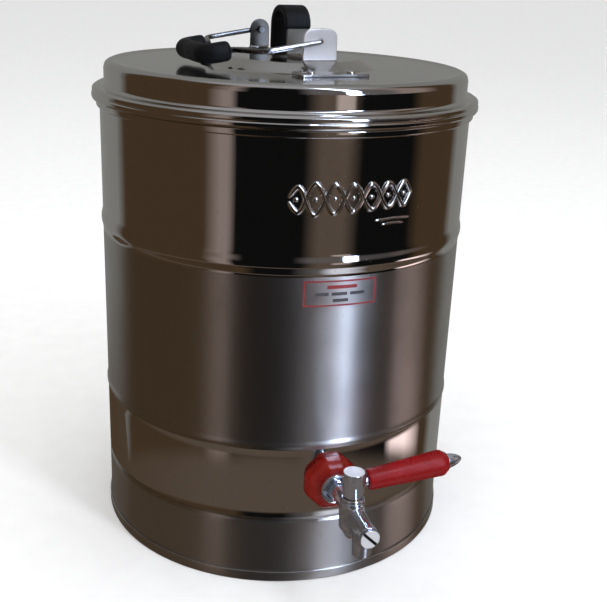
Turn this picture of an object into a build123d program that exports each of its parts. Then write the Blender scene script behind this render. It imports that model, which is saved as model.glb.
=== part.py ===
from build123d import *
import math
import os

# Insulated hot-drinks urn with a lever tap, a lift-off double-walled lid,
# a folding bail and a strap handle.  Millimetres, +Z up, tap (front) towards -Y,
# origin at the centre of the foot ring on the ground.
# Prefixes: R_ radius, T_ thickness, X_ Y_ Z_ position, S_ distance from the lid's centre
# along the hinge line, positive towards the front bracket.

# ---- vessel -------------------------------------------------------------
T_SHEET = 0.8
R_SHELL = 148.0          # outer wall
R_SHELL_LIP = 142.0      # inner edge of the wall's turned-in foot
Z_SHELL_LO = 4.2
Z_SHELL_HI = 353.6
BEADS = ((55.2, 5.6, -1.0), (120.1, 7.5, 0.9), (261.8, 17.0, 1.3))  # z, height, depth
R_VESSEL = 129.5         # inside of the drink vessel
Z_FLOOR = 68.0           # vessel floor, top side
Z_SHOULDER = 355.0       # top of the vessel's shoulder
R_RIM = 150.6            # rolled body rim
Z_LABEL = 241.0
LABEL_W = 57.0
LABEL_H = 21.0
# ---- lid ----------------------------------------------------------------
R_LID = 154.0            # rolled lid edge
R_SKIRT = 144.3          # upstand of the lid
Z_LID_CREST = 385.6
Z_LID_VALLEY = 384.3
Z_LID_TOP = 391.5        # raised centre
R_PLATEAU = 57.0
R_VALLEY = 71.0          # inner edge of the valley
Z_PAN = 345.0            # underside of the lid's inner pan
R_PAN = 126.5
Z_PAN_RIM = 358.5
# ---- lid hardware -------------------------------------------------------
HINGE_TURN = 6.8         # plan angle of the hinge line, from -Y towards +X
Z_HINGE = 407.0
SEAT_GAP = 0.05          # between the lid and what is riveted to it
RIVET_CLEAR = 0.05       # radial
EAR_S = 58.0             # inner face of each ear
EAR_T = 2.0
EAR_HALF_FRONT = 14.0
EAR_HALF_REAR = 8.6
Z_EAR_TOP = 416.6
Z_EAR_SIDE = 404.0       # the shaped tops start here
R_PIVOT_HOLE = 2.08
BASE_W = 58.0            # bracket base
BASE_DEPTH = 17.0
R_BRACKET_RIVET = 1.6
X_BRACKET_RIVETS = (-16.25, 16.25)
S_BRACKET_RIVETS = R_VALLEY + BASE_DEPTH / 2
STRAP_W = 18.0
STRAP_T = 2.0
X_STRAP = 2.0            # the strap handle sits a little off centre
Z_STRAP = 428.2          # top of the strap handle
STRAP_HALF_TOP = 13.0    # centre line, half length at the top
STRAP_HALF_FOOT = 14.0   # the same where the legs meet the feet
STRAP_HALF_LEN = 31.0
R_STRAP_RIVET = 2.0
Y_STRAP_RIVETS = (-24.5, 24.5)
SLEEVE_T = 1.6
SLEEVE_SIDE_T = 1.3
SLEEVE_GAP = 0.05
Z_SLEEVE_FRONT = 414.8
Z_SLEEVE_REAR = 397.5
# ---- bail ---------------------------------------------------------------
R_WIRE = 2.0
BAIL_REST = 9.0          # degrees below level at rest
BAIL_REACH = 79.0        # hinge line to the grip's centre line
BAIL_HALF = 28.0
R_BEND = 17.0
R_GRIP = 7.5
X_GRIP = -61.2           # where the grip starts
ARM_S = EAR_S + EAR_T + 0.25 + R_WIRE
WIRE_END_S = 54.4
COLLAR_S = 54.0
# ---- tap ----------------------------------------------------------------
Z_TAP = 89.0
Y_VALVE = -195.0         # valve axis
Y_SPOUT = -217.5
Y_FACE = -231.5          # slotted end
Y_BARREL_END = Y_FACE + 2.3
Y_TAIL_END = -114.0      # inner end of the threaded tail
Y_NECK = -161.1          # tail meets neck
R_TAIL = 10.0
R_NECK = 7.2
R_BARREL = 7.6
R_PASSAGE = 4.6          # drink passage along Y
R_SPOUT = 7.0
R_SPOUT_BORE = 4.9
Z_SPOUT_LO = 69.0
Z_SPOUT_STEP = 80.0
R_CHAMBER = 9.0
Z_CHAMBER_LO = 77.0
Z_CHAMBER_HI = 99.6
R_PLUG_BORE = 6.5
PLUG_CLEAR = 0.05
R_PLUG_STEM = 3.0
Z_PLUG_STEP = 77.6       # plug narrows to its threaded stem
Z_PLUG_TOP = 104.2
Z_O_RINGS = (81.4, 96.4)
R_WALL_HOLE = R_TAIL + 0.4
R_SLEEVE = 11.7          # tube through the insulation
R_HUB = 7.9
Z_HUB_LO = 102.2
Z_HUB_HI = 122.5
Z_LEVER = 113.0
LEVER_RISE = 6.3         # degrees
R_LEVER = 3.0
LEVER_START = 3.2        # stem's start, from the valve axis
R_LEVER_BORE = R_LEVER + 0.05
GRIP_START = 10.5
GRIP_LEN = 62.5
GRIP_END = GRIP_START + GRIP_LEN
TIP_LEN = 12.0

os.makedirs("parts", exist_ok=True)


# ---- helpers ------------------------------------------------------------
def rounded(rows, steps=5):
    """Dense points of a polyline with rounded corners.

    End rows are (x, y); the rows between are (x, y, bend radius).
    """
    points = [rows[0]]
    for before, (x, y, bend), after in zip(rows, rows[1:], rows[2:]):
        len_in = math.hypot(before[0] - x, before[1] - y)
        len_out = math.hypot(after[0] - x, after[1] - y)
        in_x, in_y = (before[0] - x) / len_in, (before[1] - y) / len_in
        out_x, out_y = (after[0] - x) / len_out, (after[1] - y) / len_out
        angle = math.acos(max(-1.0, min(1.0, in_x * out_x + in_y * out_y)))
        if bend <= 0 or angle > math.pi - 1e-3:
            points.append((x, y))
            continue
        # tangent length, limited so that neighbouring bends never meet
        tangent = min(bend / math.tan(angle / 2), len_in * 0.49, len_out * 0.49)
        bend = tangent * math.tan(angle / 2)
        mid_x, mid_y = in_x + out_x, in_y + out_y
        reach = math.hypot(bend, tangent) / math.hypot(mid_x, mid_y)
        centre_x, centre_y = x + mid_x * reach, y + mid_y * reach
        start = math.atan2(y + in_y * tangent - centre_y, x + in_x * tangent - centre_x)
        end = math.atan2(y + out_y * tangent - centre_y, x + out_x * tangent - centre_x)
        sweep_angle = math.remainder(end - start, math.tau)
        for k in range(steps + 1):
            turn = start + sweep_angle * k / steps
            points.append((centre_x + bend * math.cos(turn), centre_y + bend * math.sin(turn)))
    points.append(rows[-1])
    clean = [points[0]]
    for point in points[1:]:
        if math.dist(point, clean[-1]) > 1e-4:
            clean.append(point)
    return clean


def shifted(path, distance):
    """Path moved to the left of its direction."""
    normals = []
    for (x0, y0), (x1, y1) in zip(path, path[1:]):
        length = math.hypot(x1 - x0, y1 - y0)
        normals.append((-(y1 - y0) / length, (x1 - x0) / length))
    moved = []
    for (x, y), before, after in zip(path, normals[:1] + normals, normals + normals[-1:]):
        sum_x, sum_y = before[0] + after[0], before[1] + after[1]
        scale = 2 * distance / (sum_x ** 2 + sum_y ** 2)
        moved.append((x + sum_x * scale, y + sum_y * scale))
    return moved


def sheet(path, far, near=0.0):
    """Closed outline of a sheet between two leftward offsets of a path."""
    return shifted(path, near) + shifted(path, far)[::-1]


def face_xz(points):
    return make_face(Plane.XZ * Polyline(*points, close=True))


def lathe(points):
    """Solid turned about Z from an outline of (radius, z)."""
    return revolve(face_xz(points), Axis.Z, 360)


def strip(outline, half):
    """Outline of (s, z) extruded to both sides across the hinge line."""
    points = [(-s, z) for s, z in outline]
    return extrude(make_face(Plane.YZ * Polyline(*points, close=True)), half, both=True)


def cyl_y(radius, y0, y1):
    """Cylinder on the tap's axis between y0 and y1."""
    return Pos(0, (y0 + y1) / 2, Z_TAP) * Rot(90, 0, 0) * Cylinder(radius, abs(y1 - y0))


def cyl_z(radius, z0, z1, x=0.0, y=0.0):
    return Pos(x, y, (z0 + z1) / 2) * Cylinder(radius, z1 - z0)


def to_lid(shape):
    """Place hardware drawn with its hinge line on Y (Y = -s)."""
    return Rot(0, 0, HINGE_TURN) * shape


def save(name, shape):
    if isinstance(shape, list):
        shape = Compound(children=list(shape))
    export_step(shape, os.path.join("parts", name + ".step"))


# ---- outer wall ---------------------------------------------------------
def bead(z, height, depth, steps=12):
    """Raised-cosine bead in the wall; a negative depth makes a groove."""
    return [(R_SHELL + depth * 0.5 * (1 - math.cos(2 * math.pi * k / steps)),
             z - height / 2 + height * k / steps) for k in range(steps + 1)]


shell_path = rounded([(R_SHELL_LIP, Z_SHELL_LO), (R_SHELL, Z_SHELL_LO, 2.0), (R_SHELL, 20.0)])
for z, height, depth in BEADS:
    shell_path += bead(z, height, depth)
shell_path += [(R_SHELL, 346.0), (R_SHELL, Z_SHELL_HI)]
outer_shell = lathe(sheet(shell_path, T_SHEET))
outer_shell -= cyl_y(R_WALL_HOLE, -R_SHELL - 6, -R_SHELL + 6)
save("outer_shell", outer_shell)

# ---- base pan: recessed centre, foot ring, turned-up edge ---------------
base_under = rounded([(0, 7.6), (118, 7.6, 3), (124, 0.0, 3), (146.4, 0.0, 0),
                      (149.4, 0.0, 2.6), (149.4, 8.5)])
base_upper = [(148.1, 8.5), (148.1, 4.15), (148.0, 3.4), (146.5, 3.4), (145.0, 0.8),
              (124.45, 0.8), (118.45, 8.4), (0, 8.4)]
save("base_pan", lathe(base_under + base_upper))

# ---- drink vessel: deep cup with a shoulder over the insulation ---------
vessel_path = rounded([(0, Z_FLOOR - T_SHEET),
                       (R_VESSEL + T_SHEET, Z_FLOOR - T_SHEET, 9),
                       (R_VESSEL + T_SHEET, Z_SHOULDER - T_SHEET, 2.2),
                       (147.6, Z_SHOULDER - T_SHEET)])
vessel = lathe(sheet(vessel_path, T_SHEET))
vessel -= cyl_y(R_WALL_HOLE, -R_VESSEL - 6, -R_VESSEL + 8)
save("inner_vessel", vessel)

# ---- rolled rim that seams the wall to the vessel -----------------------
rim_outline = rounded([
    (147.7, 354.0), (147.7, 355.0, 0), (147.7, 356.8, 1.2), (R_RIM, 356.8, 1.4),
    (R_RIM, 351.2, 1.4), (148.1, 351.2, 0.9), (148.1, 353.7, 0), (147.7, 353.9, 0),
    (147.7, 354.0)])
save("body_rim_ring", lathe(rim_outline))

# ---- insulation between the two walls -----------------------------------
foam_inner = rounded([(0, 66.4), (131.1, 66.4, 9.6), (131.1, 352.6)])
foam_outer = [(0, 9.0), (142.0, 9.0), (146.0, 10.5), (146.0, 352.6)]
foam = lathe(foam_outer + foam_inner[::-1])
foam -= cyl_y(R_SLEEVE + 0.1, -R_SHELL, -R_VESSEL + 12)
save("insulation_foam", foam)

# ---- blank plate on the wall --------------------------------------------
plate = Pos(0, 0, Z_LABEL) * (Cylinder(R_SHELL + 0.32, LABEL_H)
                              - Cylinder(R_SHELL + 0.02, LABEL_H))
plate &= Pos(0, -R_SHELL, Z_LABEL) * Box(LABEL_W, 40, 30)
save("label_plate", plate)

# ---- tap mounting -------------------------------------------------------
# tube that lines the passage through the insulation
wall_sleeve = cyl_y(R_SLEEVE, -R_SHELL, -R_VESSEL)
wall_sleeve -= cyl_y(R_TAIL + 0.5, -R_SHELL - 1, -R_VESSEL + 1)
wall_sleeve &= Pos(0, 0, Z_TAP) * (Cylinder(R_SHELL - T_SHEET - 0.1, 40)
                                   - Cylinder(R_VESSEL + T_SHEET + 0.1, 40))
save("tap_wall_sleeve", wall_sleeve)

# eight-sided washer, saddled to the wall
octagon = fillet(RegularPolygon(20.8, 8, major_radius=False, rotation=22.5).vertices(), 6.0)
flange = Pos(0, -143.0, Z_TAP) * Rot(90, 0, 0) * extrude(octagon, 17.2)
flange = chamfer(flange.faces().sort_by(Axis.Y)[0].edges(), 1.9)
flange = flange - cyl_y(R_TAIL + 0.15, -120, -180) - Pos(0, 0, Z_TAP) * Cylinder(
    R_SHELL + 0.05, 60)
save("tap_flange_washer", flange)

# cup in front of the washer; outline of (radius, y)
CUP = ((R_TAIL + 0.2, -160.3), (11.6, -160.3), (12.0, -161.0), (12.0, -163.0),
       (11.2, -163.9), (10.4, -163.4), (9.4, -162.6), (R_BARREL - 0.2, -162.2),
       (R_BARREL - 0.2, -161.2), (R_TAIL + 0.2, -161.2))
cup = revolve(make_face(Plane.XY * Polyline(*CUP, close=True)), Axis.Y, 360)
save("tap_escutcheon", Pos(0, 0, Z_TAP) * cup)

# seal and back nut inside the vessel
seal = cyl_y(12.4, -135.0, -126.0) - cyl_y(R_TAIL + 0.15, -140, -120)
seal &= Pos(0, 0, Z_TAP) * Cylinder(R_VESSEL - 0.05, 60)
save("tap_inner_seal", seal)
backnut = Pos(0, -125.95, Z_TAP) * Rot(-90, 0, 0) * extrude(
    RegularPolygon(14.0, 6, major_radius=False), 7.5)
backnut -= cyl_y(R_TAIL + 0.02, -130, -110)
save("tap_backnut", backnut)

# ---- tap body: threaded tail, neck, valve chamber, barrel and spout -----
tail = cyl_y(R_TAIL, Y_TAIL_END, Y_NECK)
neck = cyl_y(R_NECK, Y_NECK, Y_VALVE)
chamber = cyl_z(R_CHAMBER, Z_CHAMBER_LO, Z_CHAMBER_HI, y=Y_VALVE)
barrel = cyl_y(R_BARREL, Y_VALVE, Y_BARREL_END)
spout = (cyl_z(R_SPOUT, Z_SPOUT_LO, Z_SPOUT_STEP, y=Y_SPOUT)
         + cyl_z(R_SPOUT + 0.3, Z_SPOUT_STEP, Z_TAP, y=Y_SPOUT))
body = tail + neck + chamber + barrel + spout
body -= cyl_y(R_PASSAGE, Y_TAIL_END + 1, Y_VALVE)
body -= cyl_y(R_PASSAGE, Y_VALVE, Y_FACE + 1)
body -= cyl_z(R_PLUG_BORE, Z_CHAMBER_LO - 1, Z_CHAMBER_HI + 1, y=Y_VALVE)
body -= cyl_z(R_SPOUT_BORE, Z_SPOUT_LO - 1, Z_TAP, y=Y_SPOUT)
save("tap_body", body)

# packing collar on the chamber
collar = (cyl_z(8.5, Z_CHAMBER_HI + 0.05, 102.0, y=Y_VALVE)
          - cyl_z(R_PLUG_BORE + 0.1, 99, 103, y=Y_VALVE))
save("tap_collar_ring", collar)

# slotted cleaning plug in the barrel's end, with its seal
end_plug = cyl_y(7.15, Y_FACE + 1.9, Y_FACE) + cyl_y(4.55, Y_FACE + 7.5, Y_FACE + 1.9)
end_plug = chamfer(end_plug.faces().sort_by(Axis.Y)[0].edges(), 0.4)
end_plug -= Pos(0, Y_FACE, Z_TAP) * Rot(0, 45, 0) * Box(16, 2.4, 1.7)
save("slotted_end_plug", end_plug)
end_seal = cyl_y(6.6, Y_FACE + 1.92, Y_BARREL_END - 0.02) - cyl_y(4.6, Y_FACE, Y_FACE + 5)
save("end_plug_seal", end_seal)

# ---- turning plug; its cross port lies along X, so the tap is closed ----
plug = (cyl_z(R_PLUG_BORE - PLUG_CLEAR, Z_PLUG_STEP, Z_PLUG_TOP, y=Y_VALVE)
        + cyl_z(R_PLUG_STEM, 68.2, Z_PLUG_STEP, y=Y_VALVE))
plug -= Pos(0, Y_VALVE, Z_TAP) * Rot(0, 90, 0) * Cylinder(3.6, 20)
for z in reversed(Z_O_RINGS):
    plug -= Pos(0, Y_VALVE, z) * (Cylinder(7.5, 1.7) - Cylinder(5.1, 1.7))
save("tap_plug", plug)
save("plug_o_rings", [Pos(0, Y_VALVE, z) * Torus(5.78, 0.66) for z in Z_O_RINGS])

# washer and nut that hold the plug from below
washer = (cyl_z(7.0, 74.9, 76.4, y=Y_VALVE)
          - cyl_z(R_PLUG_STEM + 0.05, 74, 77, y=Y_VALVE))
save("plug_washer", washer)
plug_nut = Pos(0, Y_VALVE, 70.6) * extrude(RegularPolygon(5.0, 6, major_radius=False), 4.25)
plug_nut -= cyl_z(R_PLUG_STEM + 0.02, 70, 76, y=Y_VALVE)
save("plug_nut", plug_nut)

# ---- lever: drawn along Z, laid towards +X and a little upwards ---------
lever_at = Pos(0, Y_VALVE, Z_LEVER) * Rot(0, 90 - LEVER_RISE, 0)

# hub on the plug's head
hub = cyl_z(R_HUB, Z_HUB_LO, Z_HUB_HI, y=Y_VALVE)
hub = chamfer(hub.faces().sort_by(Axis.Z)[0].edges(), 1.6)
hub = fillet(hub.faces().sort_by(Axis.Z)[-1].edges(), 0.7)
hub -= cyl_z(R_PLUG_BORE, 101, Z_PLUG_TOP + 0.05, y=Y_VALVE)
hub -= lever_at * Pos(0, 0, 13.0) * Cylinder(R_LEVER + 0.02, 20)
save("tap_hub", hub)

stem = lever_at * Pos(0, 0, LEVER_START) * Cylinder(
    R_LEVER, GRIP_END + 3.5 - LEVER_START, align=(Align.CENTER, Align.CENTER, Align.MIN))
save("lever_stem", stem)

grip = lathe([
    (R_LEVER_BORE, GRIP_START), (7.0, GRIP_START), (7.7, GRIP_START + 0.8),
    (9.7, GRIP_END - 6.0), (9.5, GRIP_END - 4.4), (6.6, GRIP_END), (R_LEVER_BORE, GRIP_END)])
save("lever_grip", lever_at * grip)

# radius, distance from the cap's open end
CAP = ((0, 3.6), (R_LEVER_BORE, 3.6), (R_LEVER_BORE, 0), (5.3, 0), (5.55, 0.4), (4.95, 4.2),
       (3.75, 7.8), (2.1, 10.6), (0.8, 11.7), (0, TIP_LEN))
cap = lathe([(radius, GRIP_END + 0.05 + rise) for radius, rise in CAP])
save("lever_end_cap", lever_at * cap)

# ---- lid shells, insulation and gasket ----------------------------------
# radius, z, bend; from the rolled edge up and in to the centre
LID = (
    (150.9, 358.3), (150.9, 357.0, 0), (153.3, 356.9, 0.6), (R_LID, 358.4, 0.8),
    (R_LID, 360.6, 0.8), (153.1, 361.5, 0.3), (153.6, 362.6, 0.3), (153.4, 364.8, 1.0),
    (151.2, 366.2, 1.2), (146.6, 366.5, 1.2), (R_SKIRT, 368.4, 1.6), (R_SKIRT, 379.6, 2.5),
    (143.2, 383.6, 3.0), (138.5, Z_LID_CREST, 3.0), (131.0, Z_LID_VALLEY + 0.2, 2.0),
    (126.0, Z_LID_VALLEY, 2.0), (R_VALLEY, Z_LID_VALLEY, 4.0), (R_PLATEAU, Z_LID_TOP, 4.0),
    (0, Z_LID_TOP))
lid_shell = lathe(sheet(rounded(LID, steps=4), T_SHEET))
for y in Y_STRAP_RIVETS:
    lid_shell -= to_lid(cyl_z(R_STRAP_RIVET + RIVET_CLEAR, 380, 400, x=X_STRAP, y=y))
bracket_rivets_at = [(x, y) for y in (-S_BRACKET_RIVETS, S_BRACKET_RIVETS)
                     for x in X_BRACKET_RIVETS]
for x, y in bracket_rivets_at:
    lid_shell -= to_lid(cyl_z(R_BRACKET_RIVET + RIVET_CLEAR, 370, 400, x=x, y=y))
save("lid_outer_shell", lid_shell)

lid_pan_path = rounded([(0, Z_PAN), (R_PAN, Z_PAN, 7), (R_PAN, Z_PAN_RIM, 2.0),
                        (149.6, Z_PAN_RIM)])
save("lid_inner_pan", lathe(sheet(lid_pan_path, T_SHEET)))

LID_FOAM = ((0, 346.2), (119.0, 346.2), (125.3, 352.0), (125.3, 359.7), (142.6, 359.7),
            (142.6, 378.6), (138.5, 381.8), (126.0, 381.8), (70.2, 381.8), (56.2, 388.6),
            (0, 388.6))
save("lid_insulation", lathe(LID_FOAM))

gasket_outline = rounded([(134.0, 355.05), (140.0, 355.05, 0.8), (140.0, 358.45, 0.8),
                          (134.0, 358.45, 0.8), (134.0, 355.05)])
save("lid_gasket", lathe(gasket_outline))


# ---- bail brackets: pierced ear, sloping foot and riveted base ----------
def bracket(half, top):
    """Front bracket; half is the ear's half-width, top its (x, z) outline."""
    z_base = Z_LID_VALLEY + SEAT_GAP
    profile = rounded([(EAR_S, Z_EAR_TOP), (EAR_S, Z_LID_TOP + 1.1, 3.0),
                       (R_VALLEY + 1.6, z_base, 3.0), (R_VALLEY + BASE_DEPTH, z_base)])
    y_ear = -(EAR_S + EAR_T / 2)
    # plan shape: narrow ear and web, wide base with rounded corners
    ear_cut = Pos(0, y_ear, 0) * Box(2 * half, 12, 900)
    base = fillet(Rectangle(BASE_W, BASE_DEPTH).vertices(), 4.0)
    base_cut = Pos(0, -S_BRACKET_RIVETS, 0) * extrude(base, 900)
    y_web = -(EAR_S + 6)
    web = make_face(Polyline((-half, y_web), (half, y_web), (half, -74.0), (-half, -74.0),
                             close=True))
    web = extrude(web, 900)
    solid = strip(sheet(profile, EAR_T), BASE_W / 2) & (ear_cut + base_cut + web)
    # wide below Z_EAR_SIDE, shaped above it
    arch = [(-40, 380), (-40, Z_EAR_SIDE)] + top + [(40, Z_EAR_SIDE), (40, 380)]
    solid &= extrude(face_xz(arch), 200, both=True)
    solid -= Pos(0, y_ear, Z_HINGE) * Rot(90, 0, 0) * Cylinder(R_PIVOT_HOLE, 10)
    for x in X_BRACKET_RIVETS:
        solid -= cyl_z(R_BRACKET_RIVET + RIVET_CLEAR, 370, 400, x=x, y=-S_BRACKET_RIVETS)
    return solid


front_top = rounded([
    (-EAR_HALF_FRONT, Z_EAR_SIDE), (-EAR_HALF_FRONT, 415.3, 7.0), (0, Z_EAR_TOP, 40.0),
    (EAR_HALF_FRONT, 415.3, 7.0), (EAR_HALF_FRONT, Z_EAR_SIDE)], steps=8)
rear_top = rounded([
    (-EAR_HALF_REAR, Z_EAR_SIDE), (-EAR_HALF_REAR, 415.4, 8.5),
    (EAR_HALF_REAR, 415.4, 8.5), (EAR_HALF_REAR, Z_EAR_SIDE)], steps=10)
save("front_bail_bracket", to_lid(bracket(EAR_HALF_FRONT, front_top)))
save("rear_bail_bracket", to_lid(Rot(0, 0, 180) * bracket(EAR_HALF_REAR, rear_top)))


# ---- rivets -------------------------------------------------------------
def rivet(x, y, z_lid, plate_t, radius, head_r, head_h):
    """Domed rivet through a plate and the lid sheet, whose top is at z_lid."""
    z_under = z_lid - T_SHEET - 0.03
    z_over = z_lid + SEAT_GAP + plate_t
    z_tail = z_lid - T_SHEET - 1.2
    profile = [(0, z_tail), (head_r * 0.8, z_tail), (head_r * 0.8, z_under),
               (radius, z_under), (radius, z_over + 0.03), (head_r, z_over + 0.03),
               (head_r * 0.92, z_over + head_h * 0.45),
               (head_r * 0.65, z_over + head_h * 0.82),
               (head_r * 0.3, z_over + head_h * 0.97), (0, z_over + head_h)]
    return to_lid(Pos(x, y, 0) * lathe(profile))


save("bracket_rivets", [rivet(x, y, Z_LID_VALLEY, EAR_T, R_BRACKET_RIVET, 3.4, 2.0)
                        for x, y in bracket_rivets_at])
save("strap_rivets", [rivet(X_STRAP, y, Z_LID_TOP, STRAP_T, R_STRAP_RIVET, 4.2, 2.4)
                      for y in Y_STRAP_RIVETS])

# ---- strap handle: bent strip with its feet on the raised centre --------
z_strap_foot = Z_LID_TOP + SEAT_GAP + STRAP_T / 2   # centre line heights
z_strap_top = Z_STRAP - STRAP_T / 2
strap_path = rounded([
    (STRAP_HALF_LEN, z_strap_foot), (STRAP_HALF_FOOT, z_strap_foot, 3.0),
    (STRAP_HALF_TOP, z_strap_top, 12.6), (-STRAP_HALF_TOP, z_strap_top, 12.6),
    (-STRAP_HALF_FOOT, z_strap_foot, 3.0), (-STRAP_HALF_LEN, z_strap_foot)], steps=12)
strap = strip(sheet(strap_path, -STRAP_T / 2, STRAP_T / 2), STRAP_W / 2)
strap &= extrude(fillet(Rectangle(STRAP_W, 2 * STRAP_HALF_LEN).vertices(), 5.0), 900)
for y in Y_STRAP_RIVETS:
    strap -= cyl_z(R_STRAP_RIVET + RIVET_CLEAR, 380, 400, y=y)
save("lid_strap_handle", to_lid(Pos(X_STRAP, 0, 0) * strap))


# ---- rubber sleeve over the strap's top and down its rear leg -----------
def leg_s(z):
    """Distance of the strap's straight leg from the centre at height z."""
    slope = (STRAP_HALF_FOOT - STRAP_HALF_TOP) / (z_strap_top - z_strap_foot)
    return STRAP_HALF_TOP + (z_strap_top - z) * slope


# strap points clear of the sleeve's two ends, then the ends themselves
covered = [(s, z) for s, z in strap_path
           if z >= (Z_SLEEVE_FRONT if s > 0 else Z_SLEEVE_REAR) + 0.2]
front_end = (leg_s(Z_SLEEVE_FRONT), Z_SLEEVE_FRONT)
rear_end = (-leg_s(Z_SLEEVE_REAR), Z_SLEEVE_REAR)
sleeve_path = [front_end] + covered + [rear_end]
# the hollow runs out past both ends
hollow_path = ([(front_end[0] + 0.08, front_end[1] - 2)] + sleeve_path
               + [(rear_end[0] - 0.08, rear_end[1] - 2)])
hollow = STRAP_T / 2 + SLEEVE_GAP
hollow_half = STRAP_W / 2 + SLEEVE_GAP
sleeve = (strip(sheet(sleeve_path, -hollow - SLEEVE_T, hollow + SLEEVE_T),
                hollow_half + SLEEVE_SIDE_T)
          - strip(sheet(hollow_path, -hollow, hollow), hollow_half))
save("strap_sleeve", to_lid(Pos(X_STRAP, 0, 0) * sleeve))


# ---- folding bail -------------------------------------------------------
def fold(shape):
    """Place the bail, drawn flat: hinge on the Y axis, reach towards -X."""
    return to_lid(Pos(0, 0, Z_HINGE) * Rot(0, -BAIL_REST, 0) * shape)


def bent_wire(rows):
    """Wire in the XY plane; rows as for rounded(), with true arcs."""
    path = Wire.make_polygon([Vector(row[0], row[1], 0) for row in rows], close=False)
    for x, y, bend in rows[1:-1]:
        corner = min(path.vertices(), key=lambda v: (v.X - x) ** 2 + (v.Y - y) ** 2)
        path = path.fillet_2d(bend, [corner])
    return path


far_bends = [(-BAIL_REACH, -BAIL_HALF, R_BEND), (-BAIL_REACH, BAIL_HALF, R_BEND)]
wire_path = bent_wire(
    [(0, -WIRE_END_S), (0, -ARM_S, 2.4), (-47.0, -ARM_S, 8), (-57.0, -BAIL_HALF, 5)]
    + far_bends
    + [(-57.0, BAIL_HALF, 5), (-47.0, ARM_S, 8), (0, ARM_S, 2.4), (0, WIRE_END_S)])
wire_end = Plane(origin=(0, -WIRE_END_S, 0), z_dir=(0, -1, 0))
wire = sweep(wire_end * Circle(R_WIRE), path=wire_path)
# a collar on each end, inside the ears
for side in (1, -1):
    wire += Pos(0, side * COLLAR_S, 0) * Rot(90, 0, 0) * Cylinder(2.9, 1.2)
save("bail_wire", fold(wire))

# rubber grip moulded round the bail's far end
grip_path = bent_wire([(X_GRIP, -BAIL_HALF)] + far_bends + [(X_GRIP, BAIL_HALF)])
grip_end = Plane(origin=(X_GRIP, -BAIL_HALF, 0), z_dir=(-1, 0, 0))
ring = grip_end * (Circle(R_GRIP) - Circle(R_WIRE + 0.03))
save("bail_grip", fold(sweep(ring, path=grip_path)))
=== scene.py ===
# A steel drinks urn. It stands on z = 0 with its axis on Z and its tap towards -Y (the front).
# The lid carries an arched strap handle and a wire bail folded down towards -X.
# Lengths are in millimetres until add_mesh turns them into metres.
import math
import bpy
import numpy as np
from mathutils import Matrix, Vector


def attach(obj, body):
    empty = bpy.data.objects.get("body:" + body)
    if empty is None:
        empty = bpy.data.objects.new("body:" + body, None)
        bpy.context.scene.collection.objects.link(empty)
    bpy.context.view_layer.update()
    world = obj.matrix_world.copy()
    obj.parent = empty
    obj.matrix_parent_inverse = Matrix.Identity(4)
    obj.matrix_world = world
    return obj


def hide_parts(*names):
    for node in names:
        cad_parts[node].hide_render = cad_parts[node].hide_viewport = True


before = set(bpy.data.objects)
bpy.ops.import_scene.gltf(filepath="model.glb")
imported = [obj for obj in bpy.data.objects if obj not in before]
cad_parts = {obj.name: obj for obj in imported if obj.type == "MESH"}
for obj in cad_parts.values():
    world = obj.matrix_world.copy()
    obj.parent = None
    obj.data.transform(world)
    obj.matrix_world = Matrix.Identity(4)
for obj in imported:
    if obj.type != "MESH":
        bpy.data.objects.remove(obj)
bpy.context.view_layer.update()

MM = 0.001

# ------------------------------------------------------------------ sizes
R_SHELL = 148.0
SHEET = 0.8                     # thickness of the sheet steel
Z_RIM = 356.8
Z_TAP = 89.0                    # height of the tap's axis, which runs along Y
Y_VALVE = -195.0                # the upright valve axis
Y_SPOUT = -217.5
Y_FACE = -231.5                 # front end of the tap
R_TAIL_HOLE = 10.4              # passage for the tap's tail through both walls
TAP_BASE = (0, 0, Z_TAP)
VALVE_BASE = (0, Y_VALVE, 0)
HINGE = math.radians(6.8)       # turn of the lid's hardware about Z
Z_HINGE = 407.0
REST = math.radians(9.0)        # how far the folded bail lies below level
X_STRAP = 2.0
# raised and sunken bands of the wall: middle height, width, how far they stand out
BEADS = ((55.2, 5.6, -1.0), (120.1, 7.5, 0.9), (261.8, 17.0, 1.3))


# ------------------------------------------------------------------ meshes
def add_mesh(name, verts, faces, materials, face_material=None, sharp=40.0):
    """Smooth-shaded object; edges bent past sharp degrees stay crisp, 0 marks none."""
    mesh = bpy.data.meshes.new(name)
    mesh.from_pydata((np.asarray(verts, float) * MM).tolist(), [], [list(f) for f in faces])
    for material in materials:
        mesh.materials.append(material)
    if face_material is not None:
        mesh.polygons.foreach_set("material_index", np.asarray(face_material, np.int32))
    mesh.validate(clean_customdata=False)
    mesh.polygons.foreach_set("use_smooth", [True] * len(mesh.polygons))
    if sharp:
        mesh.set_sharp_from_angle(angle=math.radians(sharp))
    mesh.update()
    ob = bpy.data.objects.new(name, mesh)
    bpy.context.scene.collection.objects.link(ob)
    return ob


def put(ob, body, slot, *nodes):
    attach(ob, body)
    if nodes:
        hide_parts(*nodes)
    return ob


def move_verts(ob, place):
    points = np.array([v.co for v in ob.data.vertices]) / MM
    ob.data.vertices.foreach_set("co", (place(points) * MM).ravel())
    ob.data.update()


def join(name, parts, body, slot, *nodes):
    """One piece made of several that share their materials."""
    verts, faces, face_material = [], [], []
    materials = list(parts[0].data.materials)
    for part in parts:
        first = len(verts)
        verts += [tuple(v.co / MM) for v in part.data.vertices]
        for face in part.data.polygons:
            faces.append([i + first for i in face.vertices])
            face_material.append(face.material_index)
        bpy.data.objects.remove(part)
    return put(add_mesh(name, verts, faces, materials, face_material), body, slot, *nodes)


def paint(ob, material, test):
    """A further material for the faces that pass a test on centre and normal."""
    ob.data.materials.append(material)
    for face in ob.data.polygons:
        if test(face.center / MM, face.normal):
            face.material_index = len(ob.data.materials) - 1


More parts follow.
